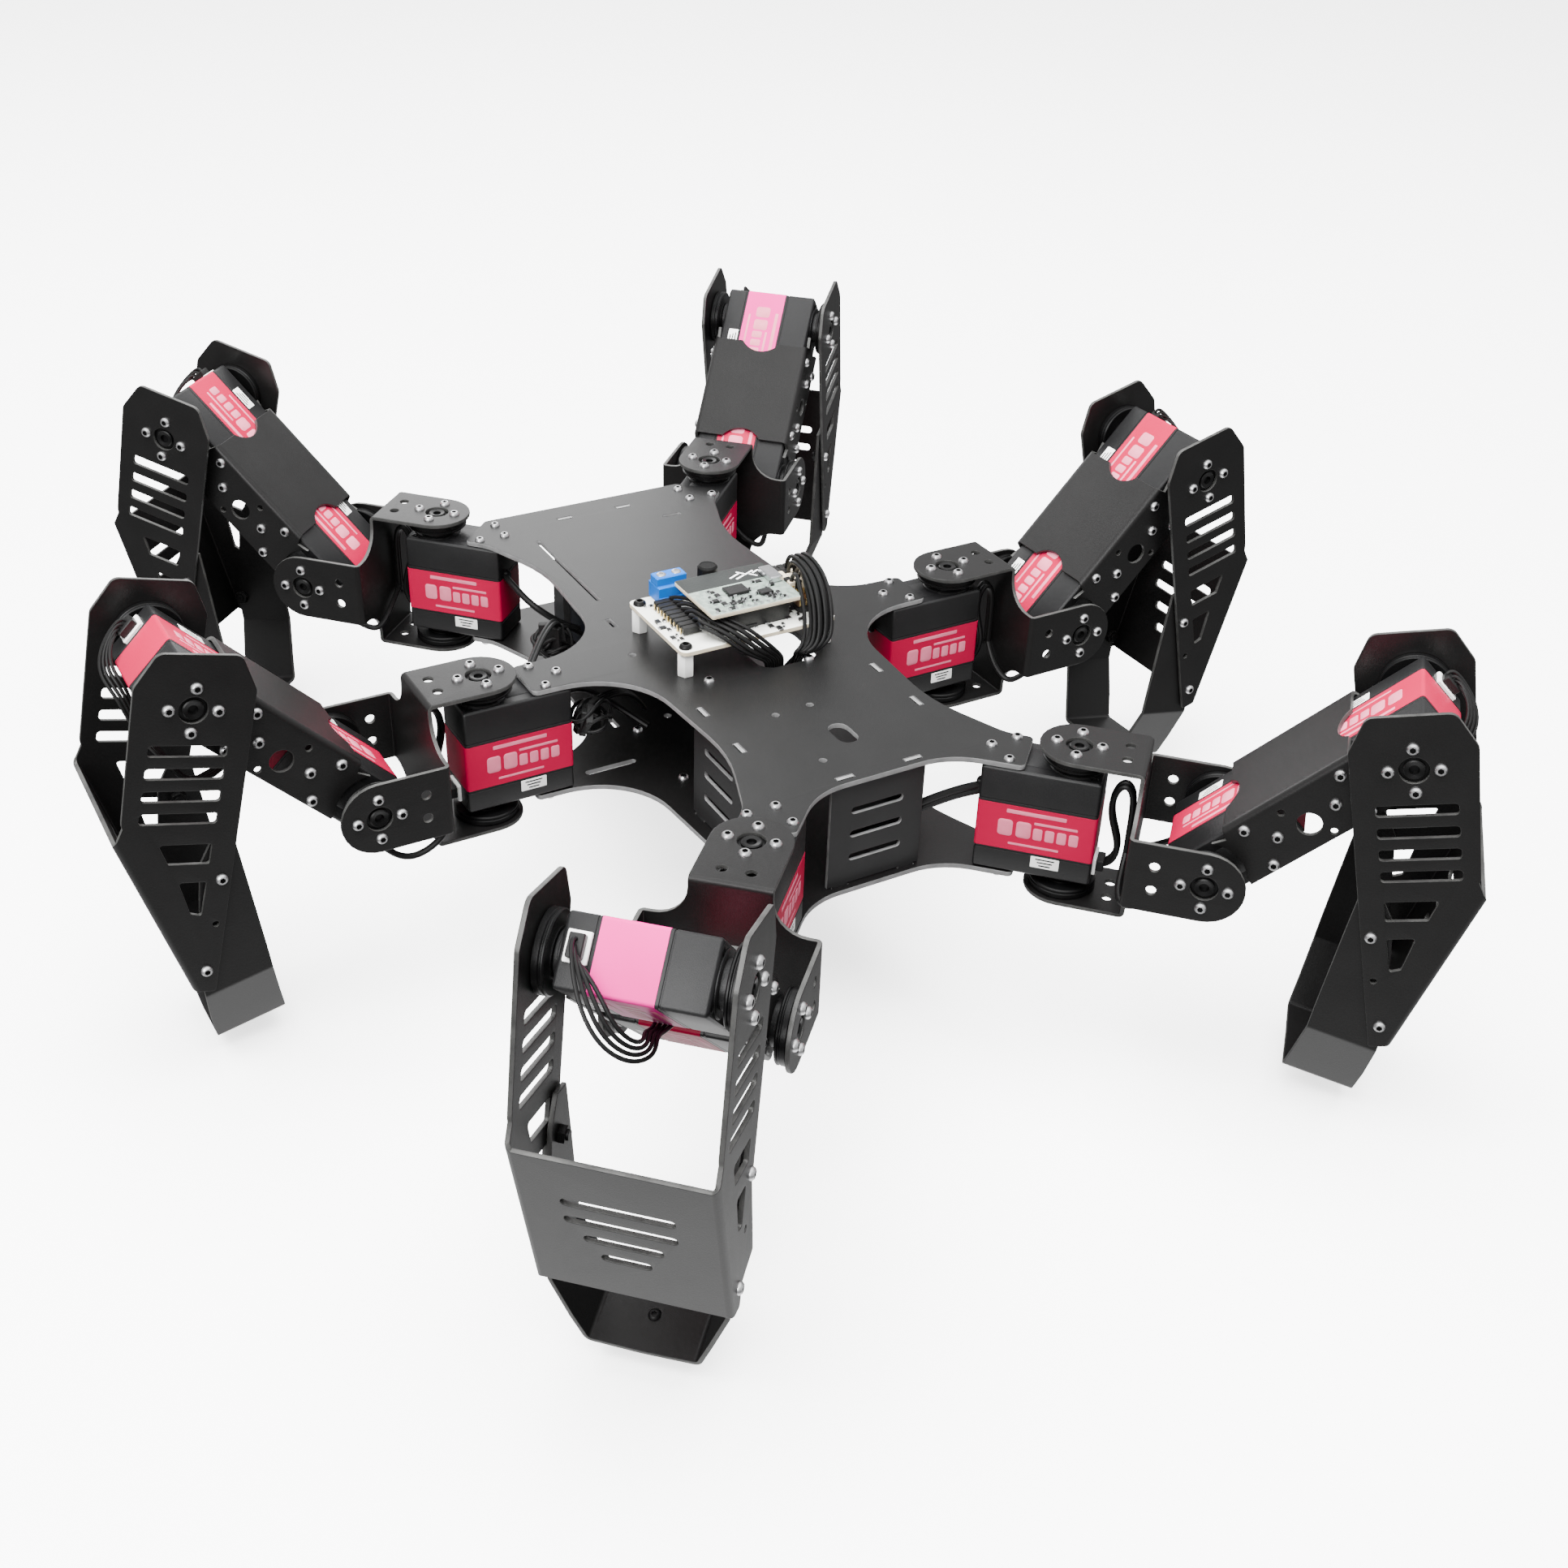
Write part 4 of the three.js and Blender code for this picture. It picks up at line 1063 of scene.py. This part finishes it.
# ---------------------------------------------------------------- chassis
CHASSIS = in_mm(0, 0, LEVEL)
DECK = PLATE_LOW + PLATE
BOARD = 1.6
BOARD_LOW = DECK + 9
BOARD_TOP = BOARD_LOW + BOARD
UPPER_LOW = BOARD_TOP + 7.6
UPPER_TOP = UPPER_LOW + BOARD
PIN_PITCH = 2.54


def plate_outline():
    """The plates' edge: six arms, with a waist between each two."""
    half, arm_end, waist = 9.8, 16.0, 39.3
    slant = math.sqrt(0.5)

    def arm_corner(side, end):
        x = CORNER_HIP.x - arm_end * slant + side * half * slant
        y = CORNER_HIP.y - arm_end * slant - side * half * slant
        return (x, end * y, 2)

    tip = MIDDLE_HIP.x - arm_end
    right = [arm_corner(-1, 1), arm_corner(1, 1), (50.5, 105.2, 20), (waist, 75, 60), (43.4, half + 0.7, 28)]
    right += [(tip, half, 2), (tip, -half, 2), (43.4, -half - 0.7, 28), (waist, -75, 60), (50.5, -105.2, 20)]
    right += [arm_corner(1, -1), arm_corner(-1, -1), (25.4, -107.7, 26)]
    left = [(-x, y, radius) for x, y, radius in reversed(right)]
    return rounded(right + left, math.radians(7.5))


PANELS = {
    "panel_rear_end": (0, -104.5, 0),
    "panel_front_end": (0, 114.2, 0),
    "panel_rear_left": (-34.6, -60.5, 90),
    "panel_rear_right": (34.6, -60.5, 90),
}
TAB_SHIFT = 13.0


def tab_slots():
    """Slots in both plates for the panels' tabs."""
    for x, y, spin in PANELS.values():
        for side in (-TAB_SHIFT, TAB_SHIFT):
            if spin:
                yield bar(x, y + side, 2.1, 6.6, 0.4)
            else:
                yield bar(x + side, y, 6.6, 2.1, 0.4)


def top_holes():
    holes = [bar(-31.3, 70.8, 1.8, 57), bar(10, -18.5, 24, 26, 6), bar(27.4, 98.3, 7.7, 1.6)]
    holes += [circle(x, y, 1.3, 14) for x, y in ((0.3, -59.5), (-13.6, -60.3), (-14, -92.4), (-38.5, -1))]
    holes += [bar(0.9, -80.5, 7.2, 12.7), bar(34.5, 23.5, 2.0, 6.4, 0.4), bar(-34.7, 24.2, 2.0, 6.4, 0.4)]
    return holes


def bottom_holes():
    holes = [bar(-48.9, -3.4, 20, 2.5), bar(48.9, -3.4, 20, 2.5), bar(-34.7, 24.2, 2.0, 6.4, 0.4)]
    holes += [circle(x, y, 1.5, 16) for x in (-14, 14) for y in (-60, -30, 20, 50)]
    return holes


def panel_sheet():
    """A slotted panel between the plates, with two tabs into each plate."""
    low, high, half, tab = PLATE_LOW - 0.3, PLATE_LOW + PLATE, 18.0, 3.0
    edge = []
    for way in (1, -1):
        edge.append((-way * half, -way * low))
        for side in (-1, 1):
            x = way * side * TAB_SHIFT
            edge += [(x - way * tab, -way * low), (x - way * tab, -way * high)]
            edge += [(x + way * tab, -way * high), (x + way * tab, -way * low)]
        edge.append((way * half, -way * low))
    bm = sheet(edge, [bar(0, 8.6 - 9.2 * k, 20, 2.6) for k in range(3)], SHEET)
    return moved(bm, turn(90, "X"))


def arm_screws():
    """Three screws through each arm of a plate."""
    for _, places in legs():
        spot = places["hip"].copy()
        spot.translation = (spot.translation / MM) - Vector((0, 0, LEVEL))
        for inward, across in ((21.4, -7.4), (21.4, 7.4), (28.7, 0)):
            yield spot @ at(-inward, across, 0)


def plate_screws():
    arms = list(arm_screws())
    high = [place @ at(0, 0, DECK) for place in arms]
    high += [at(x, y, DECK) for x, y in ((-22.8, -29.7), (16.4, -31.3), (27.7, -21), (-26.5, 17.5))]
    low = [place @ at(0, 0, -DECK) @ turn(180, "X") for place in arms]
    inside = [at(x, y, -PLATE_LOW) for x, y in ((-28.9, 15.2), (-28.8, -22.1), (28.8, 15.2), (28.8, -22.1))]
    return moved(button_screw(1.9, 1.2), *high, *low, *inside)


def put_chassis(name, bm, materials, slot, replaces=(), spot=None, weighted=False):
    """One piece of the chassis, in its axes."""
    mesh = mesh_from(name, bm, materials)
    return put(name, mesh, CHASSIS @ (spot or Matrix.Identity(4)), "chassis", slot, replaces, weighted)


def make_chassis():
    slots = list(tab_slots())
    plates = (("top_plate", top_holes, 1, PLATE_BLACK), ("bottom_plate", bottom_holes, -1, BLACK_SHEET))
    for name, holes, side, metal in plates:
        plate = sheet(plate_outline(), slots + holes(), PLATE, 0.3)
        plate = moved(plate, at(0, 0, side * (PLATE_LOW + PLATE / 2)))
        put_chassis(f"{name}_sheet", plate, [metal, PLATE_EDGE], "black_sheet", [name], None, True)
    # The panels take the lighter copy of the black sheet: painted light.
    metals = [PANEL_BLACK_PAINTED_LIGHTER, PLATE_EDGE]
    for name, (x, y, spin) in PANELS.items():
        spot = in_mm(x, y, 0) @ turn(spin, "Z")
        put_chassis(f"{name}_sheet", panel_sheet(), metals, "black_sheet", [name], spot, True)
    put_chassis("plate_screws", plate_screws(), SCREW_METALS_AND_SOCKET_SHADE, "steel_screws")


# ---------------------------------------------------------------- electronics and battery
BOARD_CORNERS = [(x, y) for x in (-28, 28) for y in (14.4, -21.8)]


def lower_board():
    holes = [circle(x, y, 1.6, 18) for x, y in BOARD_CORNERS]
    board = sheet(bar(0, -3.6, 62, 44, 2.5), holes, BOARD, 0.15)
    return moved(board, at(0, 0, BOARD_LOW + BOARD / 2))


def standoffs():
    profile = [(0, DECK), (2.9, DECK), (3.1, DECK + 0.3)]
    profile += [(3.1, BOARD_LOW - 0.3), (2.9, BOARD_LOW), (0, BOARD_LOW)]
    return moved(turned(profile, 24, (1, 2, 3, 4)), *(at(x, y, 0) for x, y in BOARD_CORNERS))


def board_screws():
    return moved(button_screw(2.4, 1.5), *(at(x, y, BOARD_TOP) for x, y in BOARD_CORNERS))


def pins(x0, y0, columns, rows, low, high, half=0.32):
    """Rows of square pins, the first one at x0, y0."""
    pin = block(-half, half, -half, half, low, high, 0.1)
    places = [(x0 + PIN_PITCH * i, y0 + PIN_PITCH * j) for i in range(columns) for j in range(rows)]
    return moved(pin, *(at(x, y, 0) for x, y in places))


def small_parts(random_part, count, x0, x1, y0, y1, floor):
    """Soldered parts scattered over a board: dark bodies with tin ends, and bare tin pads."""
    pieces = []
    for _ in range(count):
        x, y = random_part.uniform(x0, x1), random_part.uniform(y0, y1)
        long, wide = random_part.choice(((1.7, 0.9), (2.4, 1.3), (3.2, 1.7), (1.2, 0.7)))
        tall = random_part.choice((0.45, 0.7, 1.0))
        spin = turn(90 * random_part.randrange(2), "Z")
        body = paint(block(-long * 0.34, long * 0.34, -wide / 2, wide / 2, 0, tall, 0.08), 0)
        middles = (-long * 0.42, long * 0.42)
        ends = [block(u - 0.2, u + 0.2, -wide / 2, wide / 2, 0, tall * 0.9, 0.06) for u in middles]
        whole = together(body, *(paint(end, 1) for end in ends))
        pieces.append(moved(whole, at(x, y, floor) @ spin))
    return pieces


def chip_part(x, y, long, wide, legs_each, floor):
    """A packaged chip with its rows of tin legs."""
    a, b = long / 2, wide / 2
    body = paint(block(x - a, x + a, y - b, y + b, floor + 0.15, floor + 1.3, 0.15), 0)
    step = (long - 0.8) / (legs_each - 1)
    leg = paint(block(-0.16, 0.16, -b - 0.9, b + 0.9, floor, floor + 0.4, 0.05), 1)
    return together(body, moved(leg, *(at(x - a + 0.4 + step * k, y, 0) for k in range(legs_each))))


def lower_parts():
    """Everything soldered on the lower board apart from its plugs."""
    scatter = random.Random(5)
    pieces = small_parts(scatter, 44, -14, 24, -24.5, -8, BOARD_TOP)
    pieces += small_parts(scatter, 12, -29, -25, -18, 12, BOARD_TOP)
    pieces.append(chip_part(-2, -17, 8, 5, 8, BOARD_TOP))
    pieces.append(paint(pins(-25.2, -12.5, 3, 9, BOARD_TOP, BOARD_TOP + 2.4), 2))
    pieces.append(paint(pins(20.7, -16.5, 4, 9, BOARD_TOP, BOARD_TOP + 8.2), 2))
    pieces.append(paint(block(20.0, 29.2, -17.6, 5.4, BOARD_TOP, BOARD_TOP + 2.3, 0.3), 3))
    pieces.append(paint(block(20.0, 29.2, -16.8, -13.6, BOARD_TOP + 2.2, BOARD_TOP + 5.5, 0.3), 4))
    return together(*pieces)


def left_plugs():
    plug = block(-3.6, 3.6, -1.2, 1.2, 0.6, 3.1, 0.25)
    return moved(plug, *(at(-21.5, -13.6 + 3.1 * k, BOARD_TOP) for k in range(8)))


def right_plugs():
    """Lead plugs standing on the right-hand pins: alternate cream and black rows."""
    plug = block(-1.15, 1.15, -1.2, 1.2, 3.0, 9.4, 0.2)
    cream, black = [], []
    for i in range(4):
        for j in range(6):
            row = black if j > 3 or (i + j) % 3 == 1 else cream
            row.append(at(20.9 + PIN_PITCH * i, -9.6 + PIN_PITCH * j, BOARD_TOP))
    return together(paint(moved(plug.copy(), *cream), 0), paint(moved(plug, *black), 1))


def capacitor():
    top = BOARD_TOP + 10.5
    profile = [(0, BOARD_TOP), (3.9, BOARD_TOP), (4.1, BOARD_TOP + 0.5), (3.7, BOARD_TOP + 1.2)]
    profile += [(3.7, top - 0.7), (3.3, top - 0.2), (2.9, top), (2.7, top - 0.15), (0, top - 0.15)]
    return moved(turned(profile, 32), at(-1.2, 13.2, 0))


def power_terminal():
    """A two-way screw terminal: stepped blue body, two screws in wells, two lead entries."""
    low, top = BOARD_TOP, BOARD_TOP + 9.6
    steps = (
        (10.8, 19.4, low, top - 3.2, 0.35),
        (12.4, 17.9, top - 3.6, top, 0.4),
        (10.4, 11.4, low, low + 2.4, 0.25),
    )
    body = paint(together(*(block(-22, -10, *step) for step in steps)), 0)
    ways = (-19, -13)
    screws = moved(paint(button_screw(1.9, 0.8), 1), *(at(x, 15.1, top - 0.3) for x in ways))
    entry = paint(block(-1.8, 1.8, 19.0, 19.7, low + 1.4, low + 5.2, 0.15), 2)
    return together(body, screws, moved(entry, *(at(x, 0, 0) for x in ways)))


def upper_board():
    """The plug-in board: bare dark far half, near half with parts."""
    board = sheet(bar(1, -6, 36, 30, 1), [], BOARD, 0.15)
    edge = -2.0
    cut_at(board, 1, edge)
    for face in board.faces:
        is_far = face.calc_center_median().y > edge
        face.material_index = 2 if abs(face.normal.z) < 0.8 else (0 if is_far else 1)
    return moved(board, at(0, 0, UPPER_LOW + BOARD / 2))


def upper_parts():
    scatter = random.Random(11)
    pieces = small_parts(scatter, 58, -15.5, 14, -19, -4, UPPER_TOP)
    pieces.append(chip_part(-1, -8, 8, 6, 9, UPPER_TOP))
    pieces.append(chip_part(8, -13.5, 5, 3.4, 5, UPPER_TOP))
    pieces.append(paint(pins(-14.5, -19.6, 12, 1, UPPER_TOP - 0.2, UPPER_TOP + 0.5, 0.5), 1))
    for y in (-17.7, 1.15):
        pieces.append(paint(block(-13, 15, y - 1.3, y + 1.3, BOARD_TOP, UPPER_LOW, 0.2), 0))
    pieces.append(paint(block(13.5, 18.4, -8, 2, UPPER_TOP, UPPER_TOP + 2.4, 0.4), 2))
    return together(*pieces)


def upper_mark():
    """Plain white strokes printed on the bare half."""
    strokes = [(4.5, 3.2, 5.5, 25), (6.2, 1.6, 5.0, 25), (7.6, 4.4, 3.6, -50)]
    strokes += [(10.4, 3.4, 5.2, 25), (11.2, 1.2, 3.4, -50), (13.2, 3.4, 3.6, 25)]
    marks = []
    for x, y, long, spin in strokes:
        stroke = sheet(bar(0, 0, long, 0.8), [], 0.04, 0.01)
        marks.append(moved(stroke, at(x, y, UPPER_TOP + 0.02) @ turn(spin, "Z")))
    return together(*marks)


def left_leads():
    """Parallel leads from the left-hand plugs, over the near edge of the board and into the chassis."""
    wires = []
    for k in range(8):
        start = -13.6 + 3.1 * k
        lane = 1.45 * (k - 3.5)
        layer = 0.9 * (k % 2)
        points = [
            (-19.0, start, BOARD_TOP + 3.4),
            (-17.4 + 0.3 * lane, start - 3.0, BOARD_TOP + 4.6 + layer),
            (-17.6 + 0.8 * lane, min(start - 7.0, -10.0), BOARD_TOP + 5.2 + layer),
            (-15.0 + lane, -19.0, BOARD_TOP + 4.8 + layer),
            (-10.0 + lane, -25.5, BOARD_TOP + 2.8 + layer),
            (-3.5 + lane, -29.0, DECK + 7.0 + layer),
            (3.0 + 0.7 * lane, -28.5, DECK + 2.6),
            (6.5 + 0.6 * lane, -25.0, DECK - 1.5),
            (8.0 + 0.6 * lane, -21.0, DECK - 11),
        ]
        wires.append(wire(points, 0.72))
    return together(*wires)


def right_leads():
    """A thick loop: leads rise from the right-hand plugs, turn over the near edge and go into the chassis."""
    wires = []
    for k in range(16):
        column, row = k % 4, k // 4
        if column == 0 and row > 0:
            continue
        x, y = 20.9 + 2.54 * column + 1.2 * (row % 2), -9.6 + 3.4 * row
        points = [
            (x, y, BOARD_TOP + 9.0),
            (x, y - 0.5, BOARD_TOP + 12.4 + 0.5 * row),
            (x - 0.2, y - 4.2, BOARD_TOP + 14.4 + 1.0 * row),
            (x - 1.2, -16.6 - 0.8 * row, BOARD_TOP + 12.6 + 1.2 * row),
            (x - 2.8, -24.0 - 1.3 * row, BOARD_TOP + 6.4 + 0.8 * row),
            (x - 4.2, -27.6 - 1.4 * row, BOARD_TOP - 2.0),
            (x - 7.0, -30.2 - 0.9 * row, DECK + 4.2 + 0.5 * column),
            (x - 10.0 - column, -30.0 - 0.6 * row, DECK + 1.8 + 0.5 * (3 - column)),
            (14.0 + 0.8 * column, -26.0, DECK - 2.0 + 0.8 * row),
            (13.0 + 0.8 * column, -21.0 + 1.2 * row, DECK - 11),
        ]
        wires.append(wire(points, 0.74))
    return together(*wires)


def plug_cluster(seed, count, reach):
    """Black three-way plugs pushed together, with loops of their leads round them."""
    scatter = random.Random(seed)
    pieces = []
    for _ in range(count):
        plug = paint(block(-3.8, 3.8, -1.25, 1.25, -6.0, 6.0, 0.3), 1)
        place = [scatter.uniform(-reach, reach) for _ in range(3)]
        spin = turn(scatter.uniform(-50, 50), "X") @ turn(scatter.uniform(0, 180), "Z")
        pieces.append(moved(plug, at(*place) @ spin))
        size = scatter.uniform(0.8, 1.25)
        lean = turn(scatter.uniform(-60, 60), "X") @ turn(scatter.uniform(0, 360), "Z")
        radius = 6.4 * size
        turns = [0.3 * n for n in range(17)]
        ring = [(radius * math.cos(a), radius * math.sin(a), 2.5 * math.sin(2 * a)) for a in turns]
        pieces.append(moved(wire(ring, 0.72), lean))
    return pieces


def waist_leads():
    """The cluster in the left waist, with leads on to the middle leg and into the chassis."""
    pieces = [moved(together(*plug_cluster(3, 6, 3.2)), at(-46.5, 53, 3))]
    for shift in (-1.0, 1.0):
        on = [(-42, 55 + shift, 6), (-45, 50 + shift, 15), (-53, 42 + shift, 16), (-62, 32 + shift, 13)]
        on += [(-70, 21 + shift, 11), (-77, 13 + shift, 10)]
        back = [(-46, 52 + shift, 8), (-40, 57 + shift, 9), (-32, 60 + shift, 2), (-24, 58 + shift, -8)]
        pieces += [wire(on, 0.85), wire(back, 0.85)]
    return together(*pieces)


def inner_leads():
    """A smaller cluster behind the middle left hip servo, with leads into the chassis."""
    pieces = [moved(together(*plug_cluster(8, 4, 2.4)), at(-57.5, -6, 5))]
    for shift in (-1.4, 0, 1.4):
        back = [(-57, -6 + shift, 9), (-48, -3 + shift, 12), (-38, 2 + shift, 8), (-30, 8 + shift, -6)]
        pieces.append(wire(back, 0.8))
    return together(*pieces)


def battery():
    low = -PLATE_LOW + 0.3
    pack = block(-23, 23, 45, 107, low, low + 30, 2.2)
    straps = [block(-23.25, 23.25, y - 5, y + 5, low, low + 30.2, 2.2) for y in (60, 92)]
    return together(paint(pack, 0), *(paint(strap, 1) for strap in straps))


def make_electronics():
    board, materials = lower_board(), [WHITE_BOARD, CREAM]
    put_chassis("controller_board", board, materials, "white_board", ["servo_controller"], None, True)
    for name, make, materials, slot, replaces in (
        ("controller_standoffs", standoffs, [NYLON], "white_nylon", ()),
        ("controller_screws", board_screws, [BLACK_STEEL_AND_SOCKET_SHADE, BLACK_STEEL_AND_SOCKET_SHADE], "steel_screws", ()),
        ("controller_parts", lower_parts, [CHIP, TIN, GOLD, CHIP, BROWN_HEADER], "green_board", ()),
        ("left_plugs", left_plugs, [CHIP], "servo_plastic", ()),
        ("right_plugs", right_plugs, [CREAM, CHIP], "white_nylon", ()),
        ("capacitor", capacitor, [SLEEVE], "servo_plastic", ()),
        ("terminal_body", power_terminal, [TERMINAL, STEEL, CHIP], "blue_plastic", ["power_terminal"]),
        ("upper_board_sheet", upper_board, [SHADE_BOARD, GREEN_BOARD, CREAM], "green_board", ["upper_board"]),
        ("upper_board_parts", upper_parts, [CHIP, TIN, TIN], "green_board", ()),
        ("upper_board_mark", upper_mark, [WHITE_INK], "white_nylon", ()),
        ("left_leads", left_leads, [LEAD], "black_lead", ["lead_bundle_left"]),
        ("right_leads", right_leads, [LEAD], "black_lead", ["lead_bundle_right"]),
        ("waist_leads", waist_leads, [LEAD, CHIP], "black_lead", ()),
        ("inner_leads", inner_leads, [LEAD, CHIP], "black_lead", ()),
        ("battery_wrapped", battery, [WRAP, STRAP], "battery_wrap", ["battery_pack"]),
    ):
        put_chassis(name, make(), materials, slot, replaces)


# ---------------------------------------------------------------- stage
def make_stage():
    bm = bmesh.new()
    bmesh.ops.create_grid(bm, x_segments=40, y_segments=40, size=6)
    mesh = bpy.data.meshes.new("floor")
    bm.to_mesh(mesh)
    bm.free()
    pale = surface(
        "pale_floor", 0.88, 0.92, (0.7, 0.8), 60, 0.02, 0, 3,
        Specular_IOR_Level=0.0, Emission_Strength=2.0, Emission_Color=(1, 1, 1, 1),
    )
    mesh.materials.append(pale)
    floor = bpy.data.objects.new("floor", mesh)
    floor.location.z = cad_box[0].z - 0.0002
    floor.visible_glossy = False
    floor.visible_diffuse = False
    bpy.context.scene.collection.objects.link(floor)
    make_world()
    middle = Vector((0, 0, 0.08))
    soft_light("top", (-0.25, -0.1, 1.7), middle, 2.0, 290).visible_glossy = False
    soft_light("front_left", (-1.3, -1.0, 0.9), middle, 1.2, 26)
    soft_light("back", (0.07, 0.44, 0.27), Vector((-0.02, 0.06, 0.12)), 0.26, 0.7).visible_diffuse = False


def make_world():
    """A pale studio: bright straight below and above, dim at a slant."""
    world = bpy.data.worlds.new("studio")
    world.use_nodes = True
    nodes, links = world.node_tree.nodes, world.node_tree.links
    where = nodes.new("ShaderNodeTexCoord")
    parts = nodes.new("ShaderNodeSeparateXYZ")
    height = preset(nodes.new("ShaderNodeMapRange"), From_Min=-1)
    ramp = nodes.new("ShaderNodeValToRGB")
    levels = [(0.0, 0.66), (0.08, 0.6), (0.2, 0.1), (0.36, 0.06), (0.5, 0.2)]
    levels += [(0.62, 0.26), (0.74, 0.2), (0.86, 0.5), (1.0, 0.9)]
    while len(ramp.color_ramp.elements) < len(levels):
        ramp.color_ramp.elements.new(0.5)
    for element, (place, level) in zip(ramp.color_ramp.elements, levels):
        element.position = place
        element.color = colour(level)
    links.new(where.outputs["Generated"], parts.inputs[0])
    links.new(parts.outputs["Z"], height.inputs["Value"])
    links.new(height.outputs[0], ramp.inputs[0])
    links.new(ramp.outputs[0], preset(nodes["Background"], Strength=3.0).inputs["Color"])
    bpy.context.scene.world = world


def soft_light(name, place, aim, size, power):
    data = bpy.data.lights.new(name, "AREA")
    data.energy, data.size = power, size
    light = bpy.data.objects.new(name, data)
    light.location = place
    light.rotation_euler = (aim - Vector(place)).to_track_quat("-Z", "Y").to_euler()
    light.visible_camera = False
    bpy.context.scene.collection.objects.link(light)
    return light


make_stage()
make_chassis()
make_electronics()
shapes = make_shapes()
for leg, places in legs():
    make_leg(leg, places, shapes)
    make_leads(leg, places)
